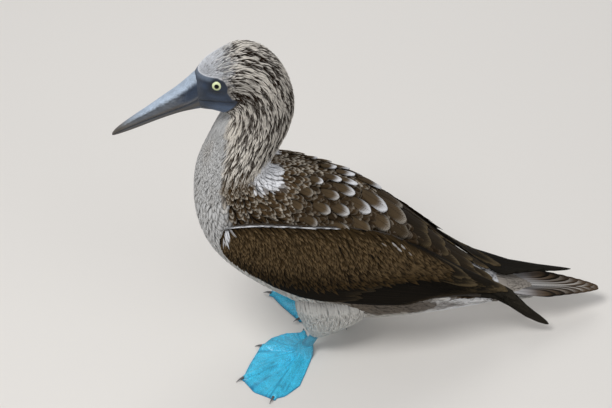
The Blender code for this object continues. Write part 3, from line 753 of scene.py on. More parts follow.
def math_node(tree, operation, *values, clamp=False):
    node = tree.nodes.new("ShaderNodeMath")
    node.operation = operation
    node.use_clamp = clamp
    for socket, value in zip(node.inputs, values):
        wire(tree, value, socket)
    return node.outputs[0]


def wire(tree, value, socket):
    """Link a socket to another, or set its value."""
    if isinstance(value, bpy.types.NodeSocket):
        tree.links.new(value, socket)
    else:
        socket.default_value = value


def smooth_range(tree, value, low, high, to_low=0.0, to_high=1.0):
    node = tree.nodes.new("ShaderNodeMapRange")
    node.interpolation_type = "SMOOTHSTEP"
    for socket, item in zip(node.inputs, (value, low, high, to_low, to_high)):
        wire(tree, item, socket)
    return node.outputs[0]


def mix_colour(tree, share, first, second):
    node = tree.nodes.new("ShaderNodeMix")
    node.data_type = "RGBA"
    node.blend_type = "MIX"
    wire(tree, share, node.inputs["Factor"])
    wire(tree, first, node.inputs[6])
    wire(tree, second, node.inputs[7])
    return node.outputs[2]


SHAFT_COLOUR = (0.02, 0.014, 0.01, 1)


def feather_group():
    """Vane of a feather: a pale edge, a shaft and fine slanting barbs."""
    tree, given, result = new_group(
        "feather vane",
        [("Tone", "colour", None), ("Edge", "colour", None), ("Blade", "vector", None),
         ("Chance", "value", 0.5), ("Shaft", "value", 0.3), ("Barbs", "value", 0.2),
         ("Barb count", "value", 20.0), ("Soft edge", "value", 0.12)],
        [("Colour", "colour"), ("Height", "value")],
    )
    parts = tree.nodes.new("ShaderNodeSeparateXYZ")
    tree.links.new(given["Blade"], parts.inputs[0])
    along, across, trim = parts.outputs
    off = math_node(tree, "ABSOLUTE", across)
    phase = math_node(tree, "MULTIPLY", along, given["Barb count"])
    phase = math_node(tree, "MULTIPLY_ADD", off, -4.0, phase)
    phase = math_node(tree, "MULTIPLY_ADD", given["Chance"], 9.0, phase)
    wave = math_node(tree, "SINE", math_node(tree, "MULTIPLY", phase, 2 * math.pi))
    wave = math_node(tree, "MULTIPLY_ADD", wave, 0.5, 0.5)
    rim = math_node(tree, "MULTIPLY_ADD", math_node(tree, "POWER", off, 3.0), 0.3, along)
    rim = math_node(tree, "MULTIPLY_ADD", wave, math_node(tree, "MULTIPLY", given["Soft edge"], 0.6), rim)
    fringe = smooth_range(tree, rim, trim, math_node(tree, "ADD", trim, given["Soft edge"]))
    colour = mix_colour(tree, fringe, given["Tone"], given["Edge"])
    shaft = smooth_range(tree, off, 0.02, 0.12, 1.0, 0.0)
    shaft_share = math_node(tree, "MULTIPLY", shaft, given["Shaft"])
    colour = mix_colour(tree, shaft_share, colour, SHAFT_COLOUR)
    shade = math_node(tree, "MULTIPLY", wave, given["Barbs"])
    shade = math_node(tree, "SUBTRACT", 1.0, shade)
    shade = math_node(tree, "MULTIPLY", shade, math_node(tree, "MULTIPLY_ADD", given["Chance"], 0.1, 0.95))
    both = tree.nodes.new("ShaderNodeVectorMath")
    both.operation = "SCALE"
    tree.links.new(colour, both.inputs[0])
    tree.links.new(shade, both.inputs["Scale"])
    tree.links.new(both.outputs[0], result["Colour"])
    tree.links.new(math_node(tree, "ADD", wave, shaft), result["Height"])
    return tree


def cell_group():
    """Small flat scales with dark seams, for bare skin."""
    tree, given, result = new_group(
        "skin cells",
        [("Colour", "colour", None), ("Seam", "colour", None), ("Place", "vector", None),
         ("Scale", "value", 400.0), ("Depth", "value", 0.5)],
        [("Colour", "colour"), ("Height", "value")],
    )
    cells = tree.nodes.new("ShaderNodeTexVoronoi")
    cells.feature = "DISTANCE_TO_EDGE"
    tree.links.new(given["Place"], cells.inputs["Vector"])
    tree.links.new(given["Scale"], cells.inputs["Scale"])
    seam = smooth_range(tree, cells.outputs["Distance"], 0.0, 0.14, 1.0, 0.0)
    blotch = tree.nodes.new("ShaderNodeTexNoise")
    tree.links.new(given["Place"], blotch.inputs["Vector"])
    tree.links.new(math_node(tree, "MULTIPLY", given["Scale"], 0.35), blotch.inputs["Scale"])
    seam_share = math_node(tree, "MULTIPLY", seam, given["Depth"])
    colour = mix_colour(tree, seam_share, given["Colour"], given["Seam"])
    both = tree.nodes.new("ShaderNodeVectorMath")
    both.operation = "SCALE"
    tree.links.new(colour, both.inputs[0])
    tree.links.new(math_node(tree, "MULTIPLY_ADD", blotch.outputs["Fac"], 0.5, 0.75), both.inputs["Scale"])
    tree.links.new(both.outputs[0], result["Colour"])
    tree.links.new(math_node(tree, "SUBTRACT", 1.0, seam), result["Height"])
    return tree


def new_material(name):
    material = bpy.data.materials.new(name)
    material.use_nodes = True
    return material, material.node_tree, material.node_tree.nodes["Principled BSDF"]


def attribute(tree, name, output="Color"):
    node = tree.nodes.new("ShaderNodeAttribute")
    node.attribute_name = name
    return node.outputs[output]


def add_bump(tree, shader, height, distance, strength=1.0):
    bump = tree.nodes.new("ShaderNodeBump")
    bump.inputs["Strength"].default_value = strength
    bump.inputs["Distance"].default_value = distance
    tree.links.new(height, bump.inputs["Height"])
    tree.links.new(bump.outputs[0], shader.inputs["Normal"])


def feather_material(name, shaft, barbs, count, roughness, relief=0.00008, soft=0.12):
    """Plumage whose colours lie on the feathers' own points."""
    material, tree, shader = new_material(name)
    node = tree.nodes.new("ShaderNodeGroup")
    node.node_tree = bpy.data.node_groups["feather vane"]
    wire(tree, attribute(tree, "tone"), node.inputs["Tone"])
    wire(tree, attribute(tree, "edge"), node.inputs["Edge"])
    wire(tree, attribute(tree, "blade", "Vector"), node.inputs["Blade"])
    wire(tree, attribute(tree, "chance", "Fac"), node.inputs["Chance"])
    node.inputs["Shaft"].default_value = shaft
    node.inputs["Barbs"].default_value = barbs
    node.inputs["Barb count"].default_value = count
    node.inputs["Soft edge"].default_value = soft
    wire(tree, node.outputs["Colour"], shader.inputs["Base Color"])
    shader.inputs["Roughness"].default_value = roughness
    shader.inputs["Specular IOR Level"].default_value = 0.07
    add_bump(tree, shader, node.outputs["Height"], relief, 0.6)
    return material


def cell_material(name, seam, scale, depth, roughness, relief, coat=0.0):
    """Bare skin whose colours lie on its own points."""
    material, tree, shader = new_material(name)
    node = tree.nodes.new("ShaderNodeGroup")
    node.node_tree = bpy.data.node_groups["skin cells"]
    place = tree.nodes.new("ShaderNodeTexCoord")
    wire(tree, attribute(tree, "tone"), node.inputs["Colour"])
    node.inputs["Seam"].default_value = (*seam, 1)
    wire(tree, place.outputs["Object"], node.inputs["Place"])
    node.inputs["Scale"].default_value = scale
    node.inputs["Depth"].default_value = depth
    wire(tree, node.outputs["Colour"], shader.inputs["Base Color"])
    shader.inputs["Roughness"].default_value = roughness
    shader.inputs["Coat Weight"].default_value = coat
    add_bump(tree, shader, node.outputs["Height"], relief, 0.7)
    return material


def grid_faces(rows, columns):
    """Quads of a grid of points whose columns run round."""
    i, j = np.meshgrid(np.arange(rows - 1), np.arange(columns), indexing="ij")
    n = (j + 1) % columns
    corners = (i * columns + j, i * columns + n, (i + 1) * columns + n, (i + 1) * columns + j)
    return np.stack(corners, -1).reshape(-1, 4)


def closed_tube(points):
    """Points and quads of rings, drawn together to a spot past each end."""
    rows, columns = points.shape[:2]
    ends = [np.repeat(p.mean(0)[None], columns, 0) for p in (points[0], points[-1])]
    ends = [mix(p, e, 0.999)[None] for p, e in zip((points[0], points[-1]), ends)]
    joined = np.concatenate([ends[0], points, ends[1]])
    faces = grid_faces(rows + 2, columns)
    caps = []
    for start, turn in ((0, -1), ((rows + 1) * columns, 1)):
        for cap in ring_caps(columns):
            caps.append([start + k for k in cap[::turn]])
    return joined.reshape(-1, 3), np.concatenate([faces, np.array(caps)])


def facing_out(points, faces):
    """The faces turned so that a closed shape's volume is above 0."""
    a, b, c, d = (points[faces[:, k]] for k in range(4))
    volume = np.sum(np.cross(a, b) * c) + np.sum(np.cross(a, c) * d)
    return faces if volume > 0 else faces[:, ::-1]


class BOOBY_OT_materials(bpy.types.Operator):
    """Build the shared shader groups and the finishes of feathers, bare skin and feet"""
    bl_idname = "booby.materials"
    bl_label = "Finishes"

    def execute(self, context):
        feather_group()
        cell_group()
        feather_material("streaked feathers", 0.1, 0.10, 5.0, 0.85)
        feather_material("soft feathers", 0.03, 0.08, 9.0, 0.9)
        feather_material("mottled feathers", 0.15, 0.20, 9.0, 0.8, soft=0.16)
        feather_material("shoulder vanes", 0.3, 0.30, 14.0, 0.75, 0.00014, 0.3)
        feather_material("flight feathers", 0.4, 0.28, 34.0, 0.7, 0.00015)
        slate = paint("slate", bare())
        cell_material("bare face", slate * 0.4, 1500, 0.3, 0.5, 0.00012)
        cell_material("foot skin", paint("foot_deep", bare()) * 0.8, 560, 0.5, 0.42, 0.0003, 0.15)
        return {"FINISHED"}


def skin_depth(points, u):
    """How far the skin lies under the plumage's surface."""
    away = face_distance(points)
    depth = length("coat_depth") * mix(0.55, 1.0, ramp(u, 2, 6)) * ramp(away, -0.3, 2.2)
    return depth, away


class BOOBY_OT_skin(bpy.types.Operator):
    """Build the one skin of head, face, neck, torso and thighs"""
    bl_idname = "booby.skin"
    bl_label = "Skin"

    def execute(self, context):
        u = np.concatenate([np.linspace(0, 4.2, 170), np.linspace(4.25, TORSO_END, 170)])
        columns = 168
        angle = np.linspace(0, 2 * math.pi, columns, endpoint=False)
        u, angle = np.meshgrid(u, angle, indexing="ij")
        surface = body_place(u, angle)
        depth, away = skin_depth(surface, u)
        height = over_back(angle)
        bare_share = ramp(away, 0.8, -0.4)
        groove = self.mouth_groove(surface) * bare_share
        wrinkle = (noise(surface * (1, 0.45, 1), 2.2, 5) - 0.5) * 0.35 * bare_share
        points = body_place(u, angle, -depth + shield(u, height) * 3.5 - groove * 1.1 + wrinkle)
        tone = self.tones(surface, u, angle, bare_share, groove)
        joined, faces = closed_tube(points)
        tone = np.concatenate([tone[:1], tone, tone[-1:]]).reshape(-1, 3)
        home = np.stack([u / TORSO_END, angle / (2 * math.pi)], -1)
        home = np.concatenate([home[:1], home, home[-1:]]).reshape(-1, 2)
        groups = [(joined, facing_out(joined, faces), tone, home)]
        for number, side in enumerate(SIDES.values()):
            groups.append(self.thigh(side, number))
        points = np.concatenate([g[0] for g in groups])
        starts = np.cumsum([0] + [len(g[0]) for g in groups[:-1]])
        faces = np.concatenate([g[1] + start for g, start in zip(groups, starts)])
        obj = quad_object("skin", points, faces, {"tone": np.concatenate([g[2] for g in groups])},
                          np.concatenate([g[3] for g in groups]))
        settle(obj, bpy.data.materials["bare face"],
               ("head", "face", "neck", "torso", "left_thigh", "right_thigh"))
        return {"FINISHED"}

    def mouth_groove(self, points):
        """1 on the line of the mouth across the face, falling to 0 beside it."""
        (front_y, front_z), (back_y, back_z) = BILL_MOUTH, GAPE
        t = np.clip((points[..., 1] - front_y) / (back_y - front_y), 0, 1)
        line = mix(front_z, back_z, t) - 1.5 * np.sin(math.pi * t)
        inside = ramp(points[..., 1], back_y + 0.5, back_y - 3)
        return np.exp(-((points[..., 2] - line) / 0.7) ** 2) * inside

    def tones(self, points, u, angle, bare_share, groove):
        flat = points.reshape(-1, 3)
        root, tip, _, _ = markings(flat, u.ravel(), over_back(angle).ravel(), np.full(u.size, 0.5))
        # The skin under the plumage takes the coat's colour at 0.8 of its brightness: painted shade in the
        # gaps between feathers
        coat = mix(root, tip, 0.35).reshape(*u.shape, 3) * 0.8
        y = points[..., 1]
        z = points[..., 2]
        slate = paint("slate", bare())
        throat = paint("throat", bare())
        lumps = noise(points * (1, 0.3, 1), 5.0, 3)
        face = slate * column(0.5 + 0.95 * lumps)
        eye_away = np.hypot(y - EYE_CENTRE[1], z - EYE_CENTRE[2])
        face = face * column(1 - 0.55 * ramp(eye_away, 13, 7.5))
        by_bill = 0.5 * ramp(y, -160, -168) * ramp(z, 318, 326)
        face = mix(face, paint("bill_grey", bare()) * 0.7, column(by_bill))
        line = 329 + (y + 168) * 0.07
        low = ramp(line - z, 3.5, 8) * ramp(y, -164, -148)
        face = mix(face, throat, column(low * 0.95))
        # The top of the face, above and ahead of the eye, is painted paler towards the bill's highlight
        # colour: painted highlight
        top = ramp(z, 349, 354) * ramp(y, -150, -158)
        face = mix(face, mix(slate, paint("bill_highlight", bare()), 0.3), column(top))
        # The mouth's crease is painted darker: painted shade in the crease
        face = face * column(1 - 0.75 * groove)
        return mix(coat, face, column(bare_share))

    def thigh(self, side, number):
        s = np.linspace(0, len(THIGH) - 1, 30)
        angle = np.linspace(0, 2 * math.pi, 48, endpoint=False)
        s, angle = np.meshgrid(s, angle, indexing="ij")
        points = thigh_place(side)(s, angle, -2.0)
        joined, faces = closed_tube(points)
        # The thigh's skin is the belly white at 0.75: painted shade in the gaps between thigh feathers
        tone = np.broadcast_to(paint("belly") * 0.75, joined.shape)
        home = np.stack([0.02 + 0.03 * number + 0.02 * s / len(THIGH), 0.02 * angle], -1)
        home = np.concatenate([home[:1], home, home[-1:]]).reshape(-1, 2)
        return joined, facing_out(joined, faces), tone, home


def foot_base(side):
    """Where a foot's ankle stands on the floor."""
    return np.array([side * FOOT_SPREAD, LEFT_FOOT_Y + (FOOT_STAGGER if side < 0 else 0), 0.0])


def thigh_place(side):
    """A thigh's surface, or one further out: s runs down from the body, v round it."""
    base = foot_base(side)

    def place(s, v, out=0.0):
        height, half, front, rear = np.moveaxis(smooth(THIGH[::-1], s), -1, 0)
        return np.stack([
            base[0] + (half + out) * np.cos(v),
            base[1] + (front + rear) / 2 + ((rear - front) / 2 + out) * np.sin(v),
            height,
        ], -1)

    return place


class BOOBY_OT_bill(bpy.types.Operator):
    """Build both mandibles, with grooves, cutting edges and streaked horn"""
    bl_idname = "booby.bill"
    bl_label = "Bill"

    def execute(self, context):
        material, tree, shader = new_material("bill horn")
        grain = tree.nodes.new("ShaderNodeTexNoise")
        place = tree.nodes.new("ShaderNodeTexCoord")
        stretch = tree.nodes.new("ShaderNodeMapping")
        stretch.inputs["Rotation"].default_value = (math.radians(37), 0, 0)
        stretch.inputs["Scale"].default_value = (900, 90, 900)
        wire(tree, place.outputs["Object"], stretch.inputs["Vector"])
        wire(tree, stretch.outputs[0], grain.inputs["Vector"])
        grain.inputs["Scale"].default_value = 1.0
        grain.inputs["Detail"].default_value = 4.0
        shade = tree.nodes.new("ShaderNodeVectorMath")
        shade.operation = "SCALE"
        wire(tree, attribute(tree, "tone"), shade.inputs[0])
        wire(tree, math_node(tree, "MULTIPLY_ADD", grain.outputs["Fac"], 0.7, 0.65), shade.inputs["Scale"])
        wire(tree, shade.outputs[0], shader.inputs["Base Color"])
        shader.inputs["Roughness"].default_value = 0.42
        add_bump(tree, shader, grain.outputs["Fac"], 0.00025, 0.6)
        for name, upper in (("upper_mandible", True), ("lower_mandible", False)):
            self.mandible(name, upper, material)
        return {"FINISHED"}

    def mandible(self, name, upper, material):
        sides = 44
        u = np.concatenate([[-0.25], np.linspace(0, 7.6, 150), np.linspace(7.62, 8, 24)])
        rows = smooth(BILL, u)
        rows[0] = rows[1] + (4.0, 2.5, 0.6, 4.0, 0.5, 0.0)
        ridge_y, ridge, mouth, keel_y, keel, half = np.moveaxis(rows, -1, 0)
        half = half * np.where(u > 7, np.sqrt(np.clip(1 - (u - 7) ** 4 * 0.75, 0, 1)), 1)
        mouth = mouth + (MOUTH_GAP if upper else -MOUTH_GAP) / 2
        tall = ridge - mouth if upper else mouth - keel
        lean = (keel_y - ridge_y) / (ridge - keel)
        count = sides - 8
        a = math.pi * np.arange(count) / (count - 1) * (1 if upper else -1)
        u_grid, a_grid = np.meshgrid(u, a, indexing="ij")
        wide = power(np.cos(a_grid), 0.9) * column(half)
        lift = power(np.sin(a_grid), 0.92) * column(tall)
        share = np.abs(np.sin(a_grid))
        groove_at = 0.62 if upper else 0.45
        groove = np.exp(-((share - groove_at) / 0.07) ** 2) * ramp(u_grid, 0.1, 1.0) * ramp(u_grid, 7.2, 5.5)
        wide = wide * (1 - 0.05 * groove)
        saw = np.abs(np.mod(u_grid * 9, 1) - 0.5) * 0.5 * ramp(share, 0.12, 0.0) * ramp(u_grid, 2.5, 3.5)
        lift = lift + (saw if upper else -saw) * 0.5
        z = column(mouth) + lift
        outer = np.stack([wide, column(ridge_y) + column(lean) * (column(ridge) - z), z], -1)
        floor_x = column(half) * np.linspace(-0.86, 0.86, 8)
        vault = (0.125 if upper else -0.125) * (1 - np.linspace(-1, 1, 8) ** 2)
        floor_z = column(mouth) + column(tall) * vault
        inner = np.stack([floor_x, column(ridge_y) + column(lean) * (column(ridge) - floor_z), floor_z], -1)
        points = np.concatenate([outer, inner], 1)
        tone = self.tones(upper, u_grid, share, groove, outer)
        mouth_tone = np.broadcast_to(paint("bill_brown", bare()) * 0.12, inner.shape)
        tone = np.concatenate([tone, mouth_tone], 1)
        joined, faces = closed_tube(points)
        tone = np.concatenate([tone[:1], tone, tone[-1:]]).reshape(-1, 3)
        obj = quad_object(name + "_horn", joined, facing_out(joined, faces), {"tone": tone})
        settle(obj, material, (name,))

    def tones(self, upper, u, share, groove, points):
        group = bare()
        lumps = noise(points * (1, 0.4, 1), 4.0, 9)
        streaks = noise(points * (2.5, 0.15, 2.5), 2.0, 11)
        if upper:
            # The upper bill is painted paler towards its top: painted highlight along the ridge
            ridge_highlight_share = ramp(share + 0.2 * (streaks - 0.5), 0.56, 0.92)
            tone = mix(paint("bill_grey", group), paint("bill_highlight", group), column(ridge_highlight_share))
            flank = ramp(u + 0.8 * (streaks - 0.5), 2.8, 1.1) * ramp(share, 0.9, 0.62) * ramp(share, 0.05, 0.2)
            tone = mix(tone, paint("slate", group) * 0.85, column(flank * 0.95))
            edge = ramp(share, 0.3, 0.08) * ramp(u, 1.0, 2.2)
            tone = mix(tone, paint("bill_brown", group) * 0.85, column(edge * 0.75))
            tone = mix(tone, paint("bill_brown", group), column(ramp(u, 4.2, 6.6) * 0.95))
        else:
            browner = column(0.35 + 0.5 * streaks)
            tone = mix(paint("bill_grey", group) * 0.85, paint("bill_brown", group), browner)
            keel = ramp(u, 1.6, 0.2) * ramp(share, 0.35, 0.75)
            tone = mix(tone, paint("throat", group) * 0.9, column(keel * 0.6))
            tone = mix(tone, paint("bill_brown", group) * 1.1, column(ramp(u, 5.0, 7.5) * 0.6))
            tone = mix(tone, paint("slate", group) * 0.6, column(ramp(share, 0.25, 0.02) * 0.8))
        fine = noise(points * (4, 0.12, 4), 1.4, 19)
        tone = tone * column((0.82 + 0.36 * lumps) * (0.8 + 0.2 * streaks + 0.2 * fine))
        # The groove is painted darker: painted shade in the recessed groove
        return tone * column(1 - 0.35 * groove)


# Steps round the eye and round the lid itself
LID_STEPS = 120
LID_SIDES = 20


class BOOBY_OT_eyes(bpy.types.Operator):
    """Build the eyes with iris and pupil, and the raised ring round each"""
    bl_idname = "booby.eyes"
    bl_label = "Eyes"

    def execute(self, context):
        group = bare()
        material, tree, shader = new_material("wet eye")
        gaze = attribute(tree, "gaze", "Fac")
        pupil = math.degrees(math.asin(group.pupil / MM / EYE_RADIUS))
        rays = tree.nodes.new("ShaderNodeTexNoise")
        place = tree.nodes.new("ShaderNodeTexCoord")
        wire(tree, place.outputs["Object"], rays.inputs["Vector"])
        rays.inputs["Scale"].default_value = 700
        yellow = paint("iris", group)
        iris = mix_colour(tree, rays.outputs["Fac"], (*yellow, 1), (*yellow * 0.8, 1))
        rim = smooth_range(tree, gaze, 40.0, 50.0)
        iris = mix_colour(tree, rim, iris, (*(yellow * (0.38, 0.5, 0.25)), 1))
        inner = smooth_range(tree, gaze, pupil + 5.0, pupil + 1.0)
        iris = mix_colour(tree, math_node(tree, "MULTIPLY", inner, 0.5), iris, (0.16, 0.2, 0.05, 1))
        hole = smooth_range(tree, gaze, pupil + 1.0, pupil)
        colour = mix_colour(tree, hole, iris, (0.002, 0.002, 0.003, 1))
        colour = mix_colour(tree, smooth_range(tree, gaze, 52.0, 56.0), colour, (0.01, 0.012, 0.02, 1))
        wire(tree, colour, shader.inputs["Base Color"])
        shader.inputs["Roughness"].default_value = 0.15
        shader.inputs["Specular IOR Level"].default_value = 0.1
        shader.inputs["Coat Weight"].default_value = 0.12
        shader.inputs["Coat Roughness"].default_value = 0.02
        for name, side in SIDES.items():
            self.eye(name, side, material)
        self.lids()
        return {"FINISHED"}

    def frame_of(self, side):
        facing = unit(EYE_FACING * (side, 1, 1))
        along = unit(np.cross((0, 0, 1), facing))
        return facing, along, np.cross(facing, along)

    def eye(self, name, side, material):
        facing, along, up = self.frame_of(side)
        polar = np.radians(np.concatenate([np.linspace(0.5, 60, 70), np.linspace(64, 179, 24)]))
        turn = np.linspace(0, 2 * math.pi, 64, endpoint=False)
        polar, turn = np.meshgrid(polar, turn, indexing="ij")
        bulge = EYE_RADIUS + 0.35 * ramp(np.degrees(polar), 42, 10)
        points = EYE_CENTRE * (side, 1, 1) + (
            facing * column(np.cos(polar) * bulge)
            + along * column(np.sin(polar) * np.cos(turn) * bulge)
            + up * column(np.sin(polar) * np.sin(turn) * bulge)
        )
        joined, faces = closed_tube(points)
        gaze = np.degrees(polar)
        gaze = np.concatenate([gaze[:1], gaze, gaze[-1:]]).reshape(-1, 1)
        obj = quad_object(name + "_eyeball", joined, facing_out(joined, faces), {"gaze": gaze})
        settle(obj, material, (name + "_eye",))

    def lids(self):
        """A ring of small folds round each eye, a little open towards the front."""
        groups = []
        for side in SIDES.values():
            facing, along, up = self.frame_of(side)
            centre = (EYE_CENTRE + (3.9, 0, 0)) * (side, 1, 1)
            turn, around = np.meshgrid(
                np.linspace(0, 2 * math.pi, LID_STEPS, endpoint=False),
                np.linspace(0, 2 * math.pi, LID_SIDES, endpoint=False), indexing="ij")
            spoke = along * column(np.cos(turn) * 6.2) + up * column(np.sin(turn) * 5.6)
            outward = unit(spoke)
            fold = 1 + 0.12 * np.sin(turn * 17) * np.sin(turn * 5 + 1) + 0.08 * np.sin(around * 5)
            points = centre + spoke + outward * column(1.35 * np.cos(around) * fold)
            points = points + facing * column(1.1 * np.sin(around) * fold)
            faces = grid_faces(LID_STEPS + 1, LID_SIDES) % (LID_STEPS * LID_SIDES)
            joined = points.reshape(-1, 3)
            tone = paint("slate", bare()) * column(0.12 + 0.3 * noise(joined, 1.5, 4))
            groups.append((joined, facing_out(joined, faces), tone))
        points = np.concatenate([g[0] for g in groups])
        faces = np.concatenate([g[1] + k * LID_STEPS * LID_SIDES for k, g in enumerate(groups)])
        obj = quad_object("lids", points, faces, {"tone": np.concatenate([g[2] for g in groups])})
        settle(obj, bpy.data.materials["bare face"])


# How far along a body feather its seen part lies, and how much the lie wanders
SEEN = 0.75
SWAY = 0.5
# Millimetres from the bare face to the first feathers and to full-grown ones, and
# how deep the roots stand in the skin
FACE_GAP = 0.3
FULL_GROWTH = 12
ROOT_DEPTH = 0.3


def body_coat(coat, chance, s_range, row_gap, gap, reach, half, top, keep, profile,
              thick, spread, camber, lift):
    """Lay body feathers in rows right round the body over a run of rings, where keep
    allows them. Gaps, reach, half width and top are numbers or functions of the ring."""
    s, v = BODY_SHEET.rows(s_range, ALL_ROUND, row_gap, gap, chance)
    points, _ = BODY_SHEET.at(s, v)
    height = over_back(v)
    far = face_distance(points)
    mask = (far > FACE_GAP) & keep(s, height)
    s, v, points, height, far = s[mask], v[mask], points[mask], height[mask], far[mask]
    number = len(s)
    grown = ramp(far, 0, FULL_GROWTH)
    size = sized(reach, s) * chance.uniform(0.82, 1.18, number) * mix(0.42, 1.0, grown)
    turn = chance.normal(0, spread, number) + SWAY * (noise(points, 8.0, 21) - 0.5)
    tip = BODY_SHEET.beyond(s, v, turn, size)
    tip = (np.minimum(tip[0], TORSO_END), tip[1])
    luck = chance.uniform(0, 1, number)
    seen = (mix(s, tip[0], SEEN), mix(v, tip[1], SEEN))
    root_colour, tip_colour, edge, trim = markings(BODY_SHEET.at(*seen)[0], seen[0], over_back(seen[1]), luck)
    wide = sized(half, s) * chance.uniform(0.85, 1.15, number) * mix(0.55, 1.0, grown)
    bulk = shield(s, height) * 2.5
    deep = skin_depth(points, s)[0] + ROOT_DEPTH
    high = sized(top, s) * (0.5 + luck) * mix(0.2, 1.0, grown) + bulk
    coat.add(BODY_SHEET, (s, v), tip, wide, (bulk - deep, high), (root_colour, tip_colour, edge),
             trim, luck, LEAF, profile, thick, camber, lift * mix(0.4, 1.0, grown),
             place=(s / TORSO_END, turn_share(v)))


def shield(u, height):
    """1 over the shoulders, where large feathers stand over the back, and 0 off them."""
    return ramp(u, 13.5, 15.5) * ramp(u, 24.0, 22.5) * ramp(height, 12, 24) * ramp(height, 80, 66)


class BOOBY_OT_head_coat(bpy.types.Operator):
    """Lay the streaked, pointed feathers of head and neck"""
    bl_idname = "booby.head_coat"
    bl_label = "Head and neck feathers"

    def execute(self, context):
        chance = np.random.default_rng(plumage().seed)
        head = length("head_feather")
        neck = length("neck_feather")

        def streaked(s, height):
            return height > streak_edge(s) - 8

        def front(s, height):
            return (height < streak_edge(s) + 6) & (s > 2.5)

        rings = (0, 2, 3.5, 8, 12.5)
        for name, run in (("head_feathers", (0.05, 6.2)), ("neck_feathers", (6.2, 12.6))):
            coat = Coat(name)
            body_coat(coat, chance, run,
                      sized_by(rings, (0.9, 1.8, 3.2, 3.8, 4.4)),
                      sized_by(rings, (0.9, 1.15, 1.35, 1.5, 1.8)),
                      sized_by(rings, (head * 0.5, head * 0.8, head * 1.3, head * 1.55, neck)),
                      sized_by(rings, (0.6, 0.75, 0.9, 1.0, 1.25)),
                      sized_by((0, 3, 12), (0.1, 0.6, 0.7)),
                      streaked, STREAK_TIP, 0.3, 0.10, 0.1, 1.4)
            coat.build(bpy.data.materials["streaked feathers"])
        coat = Coat("throat_feathers")
        body_coat(coat, chance, (2.5, 12.8), 2.8, 2.3, 12.0, 2.6, 0.25,
                  front, POINT_TIP, 0.18, 0.05, 0.1, 0.4)
        coat.build(bpy.data.materials["soft feathers"])
        return {"FINISHED"}


class BOOBY_OT_body_coat(bpy.types.Operator):
    """Lay the soft white feathers below and the mottled mantle above"""
    bl_idname = "booby.body_coat"
    bl_label = "Body feathers"

    def execute(self, context):
        chance = np.random.default_rng(plumage().seed + 1)

        def below(s, height):
            return height < streak_edge(s) + 4

        def above(s, height):
            return height > streak_edge(s) - 6

        coat = Coat("breast_feathers")
        body_coat(coat, chance, (12.2, 25.6), 3.6, 2.9, length("breast_feather"), 3.2, 0.25,
                  below, POINT_TIP, 0.2, 0.07, 0.15, 0.5)
        coat.build(bpy.data.materials["soft feathers"])
        mantle = length("mantle_feather")
        growth = sized_by((11, 13, 16, 20, 25), (0.75, 0.85, 1.1, 1.7, 2.0))
        rings = (11, 14, 18, 24)
        coat = Coat("mantle_feathers")
        body_coat(coat, chance, (11.6, 25.4),
                  sized_by(rings, (2.6, 3.4, 4.6, 6.0)),
                  sized_by(rings, (2.4, 3.1, 4.8, 6.5)),
                  lambda s: growth(s) * mantle,
                  sized_by(rings, (1.5, 2.3, 3.9, 6.0)),
                  0.5, above, ROUND_TIP, 0.3, 0.24, 0.4, 1.1)
        coat.build(bpy.data.materials["mottled feathers"])
        return {"FINISHED"}


# Large shoulder feathers of the left side: the tip's ring and angle, length,
# half width, and how much of it is white
SHOULDER = [
    (16.9, 41, 15, 5.2, 0.10), (17.0, 57, 16, 5.5, 0.12), (17.3, 72, 15, 5.2, 0.2),
    (17.9, 33, 20, 6.4, 0.14), (18.1, 47, 22, 6.8, 0.16), (18.2, 63, 22, 6.8, 0.16),
    (18.2, 82, 20, 6.0, 0.24), (18.9, 84, 22, 5.6, 0.3), (18.8, 72, 26, 7.4, 0.2),
    (18.8, 52, 26, 7.6, 0.18), (19.1, 38, 26, 7.6, 0.14), (19.6, 62, 32, 8.8, 0.2),
    (19.8, 46, 32, 8.6, 0.08), (20.3, 75, 36, 11.5, 0.22), (20.5, 58, 34, 9.5, 0.12),
    (21.2, 80, 42, 11.0, 0.12), (21.3, 64, 40, 10.0, 0.06), (22.2, 86, 50, 11.0, 0.03),
    (22.3, 70, 48, 10.0, 0.03), (23.0, 88, 46, 10.0, 0.03), (23.1, 74, 50, 9.5, 0.03),
    (22.6, 50, 52, 8.5, 0.03), (23.6, 62, 58, 9.0, 0.03), (24.0, 42, 60, 8.0, 0.03),
    (24.3, 78, 56, 8.5, 0.03), (24.7, 54, 62, 8.0, 0.03), (25.0, 36, 64, 7.5, 0.03),
    (25.3, 68, 60, 8.0, 0.03), (25.7, 46, 66, 7.5, 0.03),
]


